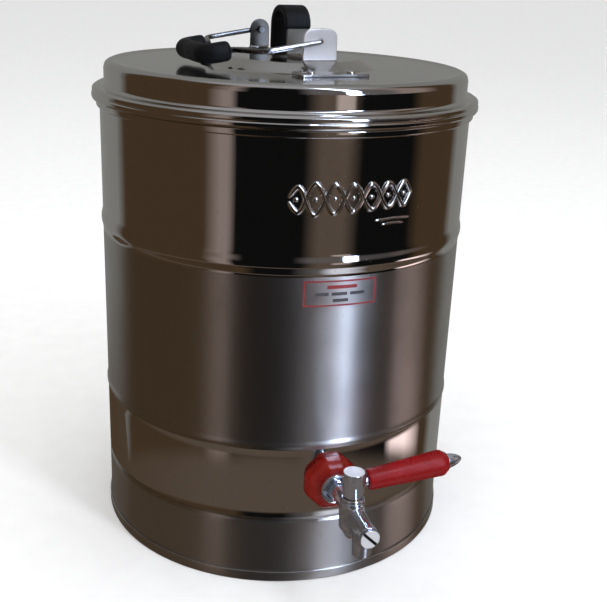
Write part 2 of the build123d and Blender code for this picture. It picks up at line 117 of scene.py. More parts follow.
# ------------------------------------------------------------------ outlines
def round_path(points, radii, steps=6):
    """Polyline whose inner corners are rounded by the given radii."""
    out = [tuple(points[0])]
    for i, radius in zip(range(1, len(points) - 1), radii):
        corner = np.array(points[i], float)
        back, ahead = points[i - 1] - corner, points[i + 1] - corner
        back_length, ahead_length = np.linalg.norm(back), np.linalg.norm(ahead)
        back, ahead = back / back_length, ahead / ahead_length
        angle = math.acos(max(-1.0, min(1.0, float(back @ ahead))))
        if radius <= 0 or angle > math.pi - 1e-3:
            out.append(tuple(corner))
            continue
        # a short side limits the radius
        setback = min(radius / math.tan(angle / 2), back_length * 0.49, ahead_length * 0.49)
        radius = setback * math.tan(angle / 2)
        middle = (back + ahead) / np.linalg.norm(back + ahead)
        centre = corner + middle * math.hypot(radius, setback)
        start = corner + back * setback - centre
        end = corner + ahead * setback - centre
        first = math.atan2(start[1], start[0])
        sweep = math.atan2(end[1], end[0]) - first
        sweep = (sweep + math.pi) % (2 * math.pi) - math.pi
        for k in range(steps + 1):
            t = first + sweep * k / steps
            out.append((centre[0] + radius * math.cos(t), centre[1] + radius * math.sin(t)))
    out.append(tuple(points[-1]))
    clean = [out[0]]
    for p in out[1:]:
        if math.hypot(p[0] - clean[-1][0], p[1] - clean[-1][1]) > 1e-4:
            clean.append(p)
    return clean


def offset(path, distance):
    """The path moved to its left, with mitred corners."""
    out, last = [], len(path) - 1
    for i, p in enumerate(path):
        normals = []
        for start, end in ((path[max(i - 1, 0)], p), (p, path[min(i + 1, last)])):
            dx, dy = end[0] - start[0], end[1] - start[1]
            length = math.hypot(dx, dy)
            if length > 1e-9:
                normals.append((-dy / length, dx / length))
        if len(normals) == 2:
            mx, my = normals[0][0] + normals[1][0], normals[0][1] + normals[1][1]
            square = mx * mx + my * my
            mx, my = 2 * mx / square, 2 * my / square
        else:
            mx, my = normals[0]
        out.append((p[0] + mx * distance, p[1] + my * distance))
    return out


def dense(path, step):
    """Long straight runs split, so that shading and reflections stay smooth."""
    out = [path[0]]
    for a, b in zip(path, path[1:]):
        k = max(1, int(math.ceil(math.hypot(b[0] - a[0], b[1] - a[1]) / step)))
        for j in range(1, k + 1):
            out.append((a[0] + (b[0] - a[0]) * j / k, a[1] + (b[1] - a[1]) * j / k))
    return out


def sheet_loop(path, step, back_step):
    """Closed section of sheet steel whose one side follows the path."""
    return dense(path, step) + dense(offset(path, SHEET)[::-1], back_step)


def ring_section(inner, outer, low, start, high, radii, steps):
    """Rounded rectangular section; the loop starts and ends on its inner side."""
    return round_path([(inner, start), (inner, low), (outer, low), (outer, high),
                       (inner, high), (inner, start)], radii, steps)


def circle(radius, count):
    angles = [2 * math.pi * i / count for i in range(count)]
    return [(radius * math.cos(a), radius * math.sin(a)) for a in angles]


def resample(path, step):
    """Evenly spaced points on a flat path."""
    path = np.array(path, float)
    along = np.concatenate([[0], np.cumsum(np.hypot(*np.diff(path, axis=0).T))])
    even = np.linspace(0, along[-1], int(along[-1] / step) + 1)
    return np.stack([np.interp(even, along, path[:, 0]), np.interp(even, along, path[:, 1])], 1)


# ------------------------------------------------------------------ turned and swept solids
def lathe(name, loop, materials, segments=256, zone=None, sharp=40.0, axis="z", base=(0, 0, 0)):
    """Closed loop of (radius, height) turned about Z or Y; points of radius 0 become poles.

    zone picks the material index of a band from its middle radius and height.
    """
    def apart(a, b):
        return math.hypot(a[0] - b[0], a[1] - b[1]) > 1e-6

    loop = [p for i, p in enumerate(loop) if i == 0 or apart(p, loop[i - 1])]
    if not apart(loop[0], loop[-1]):
        loop = loop[:-1]
    count = len(loop)
    if sum(loop[i - 1][0] * loop[i][1] - loop[i][0] * loop[i - 1][1] for i in range(count)) < 0:
        loop = loop[::-1]
    verts, rows = [], []
    angles = np.linspace(0, 2 * math.pi, segments, endpoint=False)
    for r, z in loop:
        if r < 1e-6:
            rows.append([len(verts)])
            verts.append((0.0, 0.0, z))
        else:
            rows.append(list(range(len(verts), len(verts) + segments)))
            verts += [(r * math.cos(a), r * math.sin(a), z) for a in angles]
    faces, face_material = [], []
    for i in range(count):
        after = (i + 1) % count
        a, b = rows[i], rows[after]
        if len(a) == 1 and len(b) == 1:
            continue
        middle = ((loop[i][0] + loop[after][0]) / 2, (loop[i][1] + loop[after][1]) / 2)
        face_material += [zone(*middle) if zone else 0] * segments
        for j in range(segments):
            k = (j + 1) % segments
            if len(a) == 1:
                faces.append((a[0], b[k], b[j]))
            elif len(b) == 1:
                faces.append((a[j], a[k], b[0]))
            else:
                faces.append((a[j], a[k], b[k], b[j]))
    verts = np.array(verts, float)
    if axis == "y":
        verts = np.stack([verts[:, 0], verts[:, 2], -verts[:, 1]], 1)
    return add_mesh(name, verts + np.array(base), faces, materials, face_material, sharp)


def ring_quads(rings, count, first=0):
    """Quads between successive rings of count vertices each."""
    return [(first + i * count + j, first + i * count + (j + 1) % count,
             first + (i + 1) * count + (j + 1) % count, first + (i + 1) * count + j)
            for i in range(rings - 1) for j in range(count)]


def tube(name, path, section, materials, sharp=40.0, inner=None, scale=None):
    """Sweeps a section of (side, normal); inner hollows it, scale sizes each outer ring."""
    path = np.asarray(path, float)
    rings, count = len(path), len(section)
    tangent = np.gradient(path, axis=0)
    tangent /= np.linalg.norm(tangent, axis=1)[:, None]
    # the normal is carried along the path without twist
    normal = np.zeros_like(path)
    up = np.array((0.1, 0.05, 1))
    for i in range(rings):
        up = up - (up @ tangent[i]) * tangent[i]
        up = normal[i] = up / np.linalg.norm(up)
    side = np.cross(tangent, normal)

    def ring_set(shape, size):
        shape, size = np.asarray(shape, float), size[:, None, None]
        points = (path[:, None, :] + side[:, None, :] * (shape[None, :, 0:1] * size)
                  + normal[:, None, :] * (shape[None, :, 1:2] * size))
        return points.reshape(-1, 3).tolist()

    verts = ring_set(section, np.ones(rings) if scale is None else scale)
    faces = ring_quads(rings, count)
    end = (rings - 1) * count
    if inner is None:
        for ring, first in ((0, 0), (rings - 1, end)):
            for j in range(count):
                face = (first + j, first + (j + 1) % count, len(verts))
                faces.append(face if ring else face[::-1])
            verts.append(path[ring].tolist())
    else:
        base = len(verts)
        verts += ring_set(inner, np.ones(rings))
        faces += [(a, d, c, b) for a, b, c, d in ring_quads(rings, count, base)]
        for j in range(count):
            k = (j + 1) % count
            faces.append((k, j, base + j, base + k))
            faces.append((end + j, end + k, base + end + k, base + end + j))
    return add_mesh(name, verts, faces, materials, None, sharp)


# ------------------------------------------------------------------ distance-field solids
# Every field is negative inside; points has one x, y, z row per point.
def rounded(a, b, edge):
    """Both a and b below zero, their meeting edge rounded outwards by edge."""
    return np.minimum(np.maximum(a, b), 0) + np.hypot(np.maximum(a, 0), np.maximum(b, 0)) - edge


def between(along, low, high, edge):
    return np.abs(along - (low + high) / 2) - ((high - low) / 2 - edge)


def cylinder(radial, along, radius, low, high, edge):
    return rounded(radial - (radius - edge), between(along, low, high, edge), edge)


def polygon(a, b, apothem, sides, corner):
    """Regular polygon with rounded corners."""
    wedge = 2 * math.pi / sides
    angle = np.arctan2(b, a)
    angle = angle - wedge * np.round(angle / wedge)
    radial = np.hypot(a, b)
    out, across = radial * np.cos(angle), radial * np.abs(np.sin(angle))
    half = (apothem - corner) * math.tan(wedge / 2)
    flat = out - (apothem - corner)
    return np.where(across <= half, flat, np.hypot(flat, across - half)) - corner


def hexagon(a, b, along, apothem, low, high, edge, corner):
    flat = polygon(a, b, apothem, 6, corner) + edge
    return rounded(flat, between(along, low, high, edge), edge)


def path_distance(x, y, path):
    """Distance to an open polyline in a plane."""
    best = np.full(x.shape, 1e9)
    for (x0, y0), (x1, y1) in zip(path, path[1:]):
        dx, dy = x1 - x0, y1 - y0
        t = np.clip(((x - x0) * dx + (y - y0) * dy) / (dx * dx + dy * dy), 0, 1)
        best = np.minimum(best, np.hypot(x - x0 - t * dx, y - y0 - t * dy))
    return best


def outline_distance(x, z, outline):
    """Signed distance to a closed outline in a plane."""
    closed = outline + outline[:1]
    inside = np.zeros(x.shape, bool)
    for (x0, z0), (x1, z1) in zip(closed, closed[1:]):
        inside ^= ((z0 > z) != (z1 > z)) & (x < (x1 - x0) * (z - z0) / ((z1 - z0) or 1e-12) + x0)
    distance = path_distance(x, z, closed)
    return np.where(inside, -distance, distance)


def strip(points, path, half_width, edge):
    """Bent strip 2 mm thick: path in (-y, z), width along x."""
    x, y, z = points.T
    flat = path_distance(-y, z, path) - (2.0 / 2 - edge)
    return rounded(flat, np.abs(x) - (half_width - edge), edge)


def smin(a, b, blend):
    h = np.maximum(blend - np.abs(a - b), 0) / blend
    return np.minimum(a, b) - h * h * blend / 4


def smax(a, b, blend):
    return -smin(-a, -b, blend)


def field_mesh(name, field, low, high, step, material, turn=None):
    """Closed quad mesh of field = 0, its vertices settled onto the exact surface."""
    low, high = np.array(low, float), np.array(high, float)
    size = np.ceil((high - low) / step).astype(int) + 1
    grid_x, grid_y, grid_z = (low[i] + step * np.arange(size[i]) for i in range(3))
    values = np.empty(tuple(size))
    for i in range(size[0]):
        y, z = np.meshgrid(grid_y, grid_z, indexing="ij")
        layer = np.stack([np.full(y.size, grid_x[i]), y.ravel(), z.ravel()], 1)
        values[i] = field(layer).reshape(size[1], size[2])
    values[values == 0] = 1e-9
    solid = values < 0

    # one vertex per cell the surface crosses, at the mean of its edge crossings
    cells = tuple(size - 1)
    total = np.zeros(cells + (3,))
    crossings = np.zeros(cells)

    def at(corner):
        return values[tuple(slice(corner[i], corner[i] + cells[i]) for i in range(3))]

    for corner in [(a, b, c) for a in (0, 1) for b in (0, 1) for c in (0, 1)]:
        for axis in range(3):
            if corner[axis]:
                continue
            other = list(corner)
            other[axis] = 1
            start, end = at(corner), at(other)
            crossed = (start < 0) != (end < 0)
            t = np.where(crossed, start / np.where(crossed, start - end, 1), 0)
            for k in range(3):
                total[..., k] += np.where(crossed, corner[k] + (t if k == axis else 0), 0)
            crossings += crossed
    active = crossings > 0
    index = -np.ones(cells, int)
    index[active] = np.arange(active.sum())
    mean = total[active] / crossings[active][:, None]
    points = low + step * (np.argwhere(active) + mean)

    # one quad round every crossed grid edge
    quads = []
    unit = np.eye(3, dtype=int)
    for axis in range(3):
        o1, o2 = (axis + 1) % 3, (axis + 2) % 3
        e = np.argwhere(np.diff(solid, axis=axis))
        e = e[(e[:, o1] > 0) & (e[:, o2] > 0) & (e[:, o1] < cells[o1]) & (e[:, o2] < cells[o2])]
        around = (e - unit[o1] - unit[o2], e - unit[o2], e, e - unit[o1])
        quad = np.stack([index[tuple(cell.T)] for cell in around], 1)
        outside = ~solid[tuple(e.T)]
        quad[outside] = quad[outside][:, ::-1]
        quads.append(quad)

    nudge = 0.02 * np.eye(3)
    for _ in range(4):
        value = field(points)
        slope = np.stack([(field(points + d) - field(points - d)) / (2 * 0.02) for d in nudge], 1)
        square = np.maximum((slope * slope).sum(1), 0.25)
        points = points - np.clip(value / square, -step, step)[:, None] * slope
    if turn is not None:
        points = points @ turn.T
    return add_mesh(name, points, np.concatenate(quads), [material], None, 0)


# ------------------------------------------------------------------ frames of reference
def turn_z(angle):
    c, s = math.cos(angle), math.sin(angle)
    return np.array([[c, -s, 0], [s, c, 0], [0, 0, 1]])


def fold(path):
    """Bail at rest: X is the reach, with -X tilted below level, and the hinge runs along Y."""
    x, y, z = np.asarray(path, float).T
    c, s = math.cos(REST), math.sin(REST)
    turned = np.stack([x * c - z * s, y, x * s + z * c], -1) + np.array([0, 0, Z_HINGE])
    return turned @ turn_z(HINGE).T


def fold_flat(path):
    return fold([(x, y, 0) for x, y in path])


# ------------------------------------------------------------------ shader nodes
class Nodes:
    """Short calls for building a node tree; most return the new node's output."""

    def __init__(self, tree):
        self.tree = tree
        tree.nodes.clear()

    def fill(self, node, inputs):
        """Links sockets and sets values; an RGB colour gets its alpha."""
        for key, value in inputs.items():
            socket = node.inputs[key]
            if isinstance(value, bpy.types.NodeSocket):
                self.tree.links.new(value, socket)
            elif socket.type == "RGBA":
                socket.default_value = value + (1,)
            else:
                socket.default_value = value

    def add(self, kind, inputs=None, **settings):
        node = self.tree.nodes.new(kind)
        for key, value in settings.items():
            setattr(node, key, value)
        self.fill(node, inputs or {})
        return node

    def math(self, operation, *values, clamp=False):
        node = self.add("ShaderNodeMath", dict(enumerate(values)),
                        operation=operation, use_clamp=clamp)
        return node.outputs[0]

    def scaled(self, value, by, plus, clamp=False):
        return self.math("MULTIPLY_ADD", value, by, plus, clamp=clamp)

    def remap(self, value, source, to=(0.0, 1.0)):
        return self.add("ShaderNodeMapRange", dict(enumerate((value, *source, *to)))).outputs[0]

    def mix(self, factor, a, b, blend="MIX"):
        return self.add("ShaderNodeMix", {0: factor, 6: a, 7: b},
                        data_type="RGBA", blend_type=blend).outputs[2]

    def ramp(self, value, stops):
        node = self.add("ShaderNodeValToRGB", {0: value})
        elements = node.color_ramp.elements
        elements.remove(elements[-1])
        elements[0].position = stops[0][0]
        elements[0].color = stops[0][1] + (1,)
        for position, colour in stops[1:]:
            elements.new(position).color = colour + (1,)
        return node.outputs[0]


class Material(Nodes):
    """A Principled material textured in object space."""

    def __init__(self, name):
        self.material = bpy.data.materials.new(name)
        self.material.use_nodes = True
        super().__init__(self.material.node_tree)
        self.bsdf = self.add("ShaderNodeBsdfPrincipled")
        self.add("ShaderNodeOutputMaterial", {"Surface": self.bsdf.outputs[0]})
        self.place = self.add("ShaderNodeTexCoord").outputs["Object"]

    def noise(self, scale, detail, rough, stretch=None, distortion=0.0):
        place = self.place
        if stretch:
            place = self.add("ShaderNodeMapping", {"Vector": place, "Scale": stretch}).outputs[0]
        return self.add("ShaderNodeTexNoise", {
            "Vector": place, "Scale": scale, "Detail": detail, "Roughness": rough,
            "Distortion": distortion}).outputs["Fac"]

    def bump(self, height, strength, distance, normal=None):
        inputs = {"Strength": strength, "Distance": distance, "Height": height}
        if normal:
            inputs["Normal"] = normal
        return self.add("ShaderNodeBump", inputs).outputs[0]

    def finish(self, **inputs):
        """Sets the shader, underscores standing for spaces, and returns the material."""
        self.fill(self.bsdf, {key.replace("_", " "): v for key, v in inputs.items()})
        return self.material


def shade(base, by, plus=0.0):
    return tuple(min(1, c * by + plus) for c in base)


# ------------------------------------------------------------------ materials
def steel(name, base, rough, aniso, lines, waves=0.0, smudge=0.3, metal=1.0):
    """Rolled stainless sheet: fine lines round the vessel, soft smudges and slow waves."""
    m = Material(name)
    fine = m.noise(scale=1.0, detail=2.0, rough=0.6, stretch=(6, 6, 2600))
    middle = m.noise(scale=1.0, detail=3.0, rough=0.6, stretch=(3, 3, 520))
    cloud = m.noise(scale=9.0, detail=4.0, rough=0.6)
    blot = m.noise(scale=38.0, detail=5.0, rough=0.65)
    spots = m.noise(scale=260.0, detail=1.0, rough=0.4)
    line = m.scaled(m.math("ADD", fine, m.math("MULTIPLY", middle, 0.7)), by=0.6, plus=0.0)
    smear = m.remap(blot, (0.50, 0.74))
    r = m.scaled(m.math("SUBTRACT", line, 0.5), by=lines, plus=rough)
    r = m.scaled(smear, by=0.07 * smudge / 0.3, plus=r)
    r = m.scaled(m.math("SUBTRACT", cloud, 0.5), by=0.10 * smudge, plus=r, clamp=True)
    tint = (0.50, 0.42, 0.33)
    dull = tuple(b * 0.86 + t * 0.10 for b, t in zip(base, tint))
    colour = m.mix(m.math("MULTIPLY", smear, 0.35 * smudge / 0.3), base, dull)
    colour = m.mix(m.remap(spots, (0.69, 0.74), to=(0.0, 0.28)), colour, shade(base, by=0.72))
    tangent = m.add("ShaderNodeTangent", direction_type="RADIAL", axis="Z").outputs[0]
    normal = m.bump(line, strength=0.10 if lines > 0.04 else 0.035, distance=0.00006)
    if waves:
        slow = m.noise(scale=1.0, detail=2.0, rough=0.5, stretch=(17, 17, 5.5), distortion=0.6)
        normal = m.bump(slow, strength=waves, distance=0.0016, normal=normal)
    return m.finish(Base_Color=colour, Metallic=metal, Roughness=r, Anisotropic=aniso,
                    Anisotropic_Rotation=0.25, Tangent=tangent, Normal=normal)


def plated(name, base, rough, metal=1.0):
    """Metal with tiny ripples, fine pits and light handling marks."""
    m = Material(name)
    ripple = m.noise(scale=150.0, detail=2.0, rough=0.5)
    pits = m.noise(scale=1500.0, detail=1.0, rough=0.4)
    haze = m.noise(scale=60.0, detail=4.0, rough=0.65)
    r = m.scaled(m.remap(haze, (0.45, 0.75)), by=0.14, plus=rough, clamp=True)
    colour = m.mix(m.remap(pits, (0.66, 0.72), to=(0.0, 0.35)), base, shade(base, by=0.55))
    normal = m.bump(ripple, strength=0.10, distance=0.0006)
    normal = m.bump(pits, strength=0.05, distance=0.0001, normal=normal)
    return m.finish(Base_Color=colour, Metallic=metal, Roughness=r, Normal=normal)


def plastic(name, base, rough, coat=0.0, specular=0.5):
    """Moulded plastic with faint flow marks and rubbed patches."""
    m = Material(name)
    flow = m.noise(scale=30.0, detail=3.0, rough=0.55, distortion=1.0)
    rub = m.noise(scale=120.0, detail=4.0, rough=0.65)
    micro = m.noise(scale=1400.0, detail=2.0, rough=0.5)
    stops = [(0.25, shade(base, by=0.72)), (0.6, base), (0.85, shade(base, by=1.25))]
    r = m.scaled(m.remap(rub, (0.5, 0.72)), by=0.16, plus=rough, clamp=True)
    normal = m.bump(micro, strength=0.06, distance=0.0001)
    normal = m.bump(flow, strength=0.06, distance=0.0008, normal=normal)
    return m.finish(Base_Color=m.ramp(flow, stops), Roughness=r, Coat_Weight=coat,
                    Coat_Roughness=0.12, IOR=1.49, Specular_IOR_Level=specular, Normal=normal)


def rubber(name, base, rough, grain):
    """Dull rubber with worn patches and specks of dust."""
    m = Material(name)
    micro = m.noise(scale=1100.0, detail=3.0, rough=0.6)
    wear = m.noise(scale=70.0, detail=5.0, rough=0.65)
    dust = m.noise(scale=420.0, detail=2.0, rough=0.6)
    worn, dusty = shade(base, by=2.2, plus=0.003), shade(base, by=1, plus=0.045)
    colour = m.mix(m.remap(wear, (0.5, 0.78), to=(0.0, 0.45)), base, worn)
    colour = m.mix(m.remap(dust, (0.66, 0.76), to=(0.0, 0.3)), colour, dusty)
    r = m.scaled(m.remap(wear, (0.4, 0.8)), by=0.18, plus=rough, clamp=True)
    normal = m.bump(micro, strength=grain, distance=0.00025)
    normal = m.bump(wear, strength=0.1, distance=0.0008, normal=normal)
    return m.finish(Base_Color=colour, Roughness=r, Specular_IOR_Level=0.18, Normal=normal)


def printed(name, base):
    """Printing ink, slightly uneven."""
    m = Material(name)
    grain = m.noise(scale=900.0, detail=2.0, rough=0.6)
    wear = m.noise(scale=140.0, detail=4.0, rough=0.6)
    pale = shade(base, by=1.35, plus=0.02)
    colour = m.mix(m.remap(wear, (0.45, 0.8), to=(0.0, 0.35)), base, pale)
    colour = m.mix(m.remap(grain, (0.62, 0.75), to=(0.0, 0.3)), colour, shade(base, by=0.6))
    return m.finish(Base_Color=colour, Roughness=m.scaled(wear, by=0.2, plus=0.32),
                    Coat_Weight=0.25, Coat_Roughness=0.25,
                    Normal=m.bump(grain, strength=0.05, distance=0.0001))


def foam(name):
    m = Material(name)
    cell = m.add("ShaderNodeTexVoronoi", {"Vector": m.place, "Scale": 700.0}).outputs["Distance"]
    colour = m.ramp(cell, [(0.0, (0.55, 0.43, 0.20)), (0.5, (0.80, 0.68, 0.40))])
    return m.finish(Base_Color=colour, Roughness=0.9,
                    Normal=m.bump(cell, strength=0.6, distance=0.0005))


SATIN = steel("steel_satin", (0.56, 0.54, 0.52), rough=0.31, aniso=0.91, lines=0.15, waves=0.04)
POLISH = steel("steel_polished", (0.66, 0.645, 0.625), rough=0.045, aniso=0.35, lines=0.03,
               waves=0.10, smudge=0.14)
LID_TOP = steel("steel_lid", (0.63, 0.62, 0.61), rough=0.10, aniso=0.25, lines=0.05,
                waves=0.05, smudge=0.22)
INSIDE = steel("steel_inner", (0.60, 0.585, 0.565), rough=0.24, aniso=0.55, lines=0.10,
               smudge=0.12)
FOOT = steel("steel_foot_band", (0.54, 0.52, 0.50), rough=0.29, aniso=0.85, lines=0.04,
             waves=0.04, metal=0.985)
FILM = steel("label_film", (0.58, 0.565, 0.55), rough=0.30, aniso=0.8, lines=0.14, smudge=0.2)
# Chrome base tinted blue, with a small diffuse share, as painted cool reflection colour.
CHROME = plated("chrome_plate_painted_reflection", (0.74, 0.80, 0.92), rough=0.055, metal=0.95)
# Lighter, half-diffuse chrome for upward and front faces of the tap: painted light.
CHROME_PAINTED_LIGHT = plated("chrome_painted_light", (0.70, 0.705, 0.75), rough=0.28, metal=0.45)
SLOT = plated("slot_shade", (0.045, 0.045, 0.05), rough=0.45)
BRACKET = plated("bracket_steel", (0.72, 0.71, 0.72), rough=0.16)
# Bail ears in two copies: the front ear is lightened and partly diffuse, painted light; the rear
# ear is darkened, painted shade.
EAR_FRONT_PAINTED_LIGHT = plated("ear_steel", (0.50, 0.475, 0.455), rough=0.34, metal=0.62)
FLANGE = plated("flange_steel", (0.56, 0.55, 0.54), rough=0.12)
EAR_REAR_PAINTED_SHADE = plated("ear_steel_rear_painted_shade", (0.125, 0.118, 0.106), rough=0.40)
# Strap steel darkened as painted shade.
STRAP = plated("strap_steel_painted_shade", (0.150, 0.140, 0.122), rough=0.50, metal=0.70)
# Bail wire in two copies: this darkened one paints shade on most of the wire, and the lighter one
# paints a highlight on the near arm.
WIRE = plated("wire_steel", (0.20, 0.20, 0.205), rough=0.24)
WIRE_PAINTED_HIGHLIGHT = plated("wire_steel_painted_highlight", (0.52, 0.52, 0.54), rough=0.22)
BRASS = plated("turned_brass", (0.70, 0.50, 0.22), rough=0.22)
RED = plastic("red_plastic", (0.195, 0.0035, 0.0050), rough=0.27, specular=0.22)
RED_WASHER = plastic("red_washer_plastic", (0.185, 0.0075, 0.0045), rough=0.26, coat=0.03,
                     specular=0.36)
WHITE = plastic("sleeve_plastic", (0.72, 0.71, 0.66), rough=0.4)
BLACK = rubber("black_rubber", (0.0035, 0.0035, 0.004), rough=0.5, grain=0.35)
SILICONE = rubber("silicone", (0.62, 0.60, 0.55), rough=0.45, grain=0.1)
PRINT_RED = printed("print_red", (0.23, 0.022, 0.028))
PRINT_GREY = printed("print_grey", (0.05, 0.05, 0.06))
FOAM = foam("insulation_foam")


# ------------------------------------------------------------------ vessel
# Outlines here and for the lid are (radius, height).
def tail_hole(ob, back, front):
    """Cuts the passage for the tap's tail, between two places on Y."""
    cutter = lathe("cutter", [(0, back), (R_TAIL_HOLE, back), (R_TAIL_HOLE, front), (0, front)],
                   [SATIN], 96, axis="y", base=TAP_BASE)
    cut = ob.modifiers.new("cut", "BOOLEAN")
    cut.object, cut.operation, cut.solver = cutter, "DIFFERENCE", "EXACT"
    graph = bpy.context.evaluated_depsgraph_get()
    mesh = bpy.data.meshes.new_from_object(ob.evaluated_get(graph))
    ob.modifiers.clear()
    ob.data = mesh
    bpy.data.objects.remove(cutter)


def outer_wall():
    wall = round_path([(142.0, 4.2), (R_SHELL, 4.2), (R_SHELL, 20.0)], [2.0])
    steps = 18
    for z, width, depth in BEADS:
        wall += [(R_SHELL + depth * 0.5 * (1 - math.cos(2 * math.pi * k / steps)),
                  z - width / 2 + width * k / steps) for k in range(steps + 1)]
    wall = dense(wall + [(R_SHELL, 346.0), (R_SHELL, 353.6)], 6.0)

    def zone(r, z):
        if 58.0 < z < 116.5 or z > 253.3:
            return 1
        return 2 if z < 52.0 else 0

    ob = lathe("urn_wall", wall + offset(wall, SHEET)[::-1], [SATIN, POLISH, FOOT], 384, zone,
               sharp=50)
    tail_hole(ob, -160.0, -135.0)
    put(ob, "urn_body", "satin_steel", "outer_shell")


def foot_pan():
    outside = round_path([(0, 7.6), (118, 7.6), (124, 0.0), (146.4, 0.0), (149.4, 0.0),
                          (149.4, 8.5)], [3, 3, 0, 2.6], 8)
    inside = round_path([
        (149.4, 6.0), (149.4, 8.5), (148.1, 8.5), (148.1, 4.15), (148.0, 3.4),
        (146.5, 3.4), (145.0, 0.8), (124.45, 0.8), (118.45, 8.4), (0, 8.4)],
        [0.6, 0.5, 0, 0, 0, 0, 2, 2], 4)
    ob = lathe("foot_pan", dense(outside[:-1], 8) + inside, [FOOT], 320, sharp=50)
    put(ob, "urn_body", "satin_steel", "base_pan")


def drink_vessel():
    cup = round_path([(0, 67.2), (130.3, 67.2), (130.3, 354.2), (147.6, 354.2)], [9, 2.2], 10)
    ob = lathe("drink_vessel", sheet_loop(cup, 12, 12), [INSIDE], 256, sharp=50)
    tail_hole(ob, -136.0, -121.0)
    put(ob, "urn_body", "satin_steel", "inner_vessel")


def rolled_rim():
    rim = round_path([
        (147.7, 354.2), (147.7, Z_RIM), (150.6, Z_RIM), (150.6, 351.2), (148.1, 351.2),
        (148.1, 353.7), (147.7, 353.9), (147.7, 354.2)], [0.9, 1.45, 1.3, 0.5, 0, 0], 8)
    ob = lathe("rolled_rim", rim, [POLISH], 320, sharp=50)
    put(ob, "urn_body", "polished_steel", "body_rim_ring")


outer_wall()
foot_pan()
drink_vessel()
rolled_rim()

# ------------------------------------------------------------------ lid
LID_OUTLINE = round_path([
    (150.9, 358.3), (150.9, 357.0), (153.3, 356.9), (154.0, 358.4), (154.0, 360.6),
    (153.1, 361.5), (153.6, 362.6), (153.4, 364.8), (151.2, 366.2), (146.6, 366.5),
    (144.3, 368.4), (144.3, 379.6), (143.2, 383.6), (138.5, 385.6), (131.0, 384.5),
    (126.0, 384.3), (71.0, 384.3), (57.0, 391.5), (0, 391.5)],
    [0.4, 0.9, 0.9, 0.7, 0.5, 0.5, 1.0, 1.2, 1.4, 1.9, 2.5, 4.0, 4.0, 4.0, 2.0, 7.0, 7.0], 8)
LINER_OUTLINE = round_path([(0, 345.0), (126.5, 345.0), (126.5, 358.5), (149.6, 358.5)],
                           [7, 2.0], 8)

ob = lathe("lid_cover", sheet_loop(LID_OUTLINE, 6, 12), [LID_TOP, POLISH], 384,
           lambda r, z: 1 if (r > 143.0 and z < 384) else 0, sharp=50)
put(ob, "lid", "polished_steel", "lid_outer_shell")
ob = lathe("lid_liner", sheet_loop(LINER_OUTLINE, 10, 14), [INSIDE], 256, sharp=50)
put(ob, "lid", "satin_steel", "lid_inner_pan")
ob = lathe("lid_seal", ring_section(134.0, 140.0, 355.05, 356.5, 358.45, [0.9] * 4, 5),
           [SILICONE])
put(ob, "lid", "silicone", "lid_gasket")

# ------------------------------------------------------------------ bail ears
EAR_RIVET_X, EAR_RIVET_OUT = 16.25, 79.5
# side view of an ear, (distance out from the lid's axis, height)
EAR_PROFILE = round_path([(59.0, 425.0), (59.0, 392.6), (73.0, 385.35), (96.0, 385.35)],
                         [3.5, 3.5])


def ear_field(half, top, radii):
    """Upright ear with a riveted foot; half is half its width, top its upper outline (x, z)."""
    outline = round_path([(-half, 380.0)] + top + [(half, 380.0)], radii, 8)

    def field(points):
        x, out, z = np.abs(points[:, 0]), -points[:, 1], points[:, 2]
        d = strip(points, EAR_PROFILE, np.where(out > 71.6, 29.0, half), 0.35)
        upright = np.full(x.shape, -9.0)
        high = z > 400
        upright[high] = outline_distance(points[high, 0], z[high], outline)
        d = smax(d, upright, 0.9)
        # plan: a foot rounded by 4 mm, blended into the ear's width
        foot = rounded(x - (29.0 - 4.0), np.abs(out - EAR_RIVET_OUT) - (8.5 - 4.0), 4.0)
        neck = np.maximum(x - half, out - 78.0)
        d = smax(d, smin(foot, neck, 3.0), 0.5)
        hinge_hole = 2.08 - np.hypot(x, z - Z_HINGE)
        d = np.where(out < 66, smax(d, hinge_hole, 0.5), d)
        return np.maximum(d, 1.66 - np.hypot(x - EAR_RIVET_X, out - EAR_RIVET_OUT))

    return field


# name, CAD piece, turn from the front, half width, top outline, corner radii, material (painted
# light on the front ear, painted shade on the rear ear)
EARS = (
    ("front_ear", "front_bail_bracket", 0.0, 14.0,
     [(-14.0, 415.3), (0.0, 416.6), (14.0, 415.3)], [7.0, 40.0, 7.0], EAR_FRONT_PAINTED_LIGHT),
    ("rear_ear", "rear_bail_bracket", math.pi, 8.6,
     [(-8.6, 415.4), (8.6, 415.4)], [8.5, 8.5], EAR_REAR_PAINTED_SHADE))
for name, node, turn, half, top, radii, material in EARS:
    ob = field_mesh(name, ear_field(half, top, radii), (-31, -90, 382.5), (31, -55, 418.5),
                    0.42, material, turn_z(HINGE + turn))
    # The front ear's painted light and the rear ear's painted shade stop above the foot, which
    # takes the plain flange steel.
    paint(ob, FLANGE, lambda c, n: c.z < 393.5)
    put(ob, "lid", "polished_steel", node)


# ------------------------------------------------------------------ lid rivets
def rivets(name, node, places, top, shank, head, height, segments):
    """Rivets at (x, y) places of the lid hardware; top is the sheet they stand on."""
    foot, under, over = top - 2.85 - 1.2, top - 2.85 - 0.03, top + 0.03
    dome = [(head * math.cos(a), over + (height - 0.03) * math.sin(a))
            for a in np.linspace(0.12, 1.45, 7)]
    loop = [(0, foot), (head * 0.8, foot), (head * 0.8, under), (shank, under), (shank, over),
            (head, over)] + dome + [(0, top + height)]
    parts = []
    for x, y in places:
        base = np.array((x, y, 0.0)) @ turn_z(HINGE).T
        parts.append(lathe("rivet", loop, [BRACKET], segments, base=base))
    join(name, parts, "lid", "satin_steel", node)


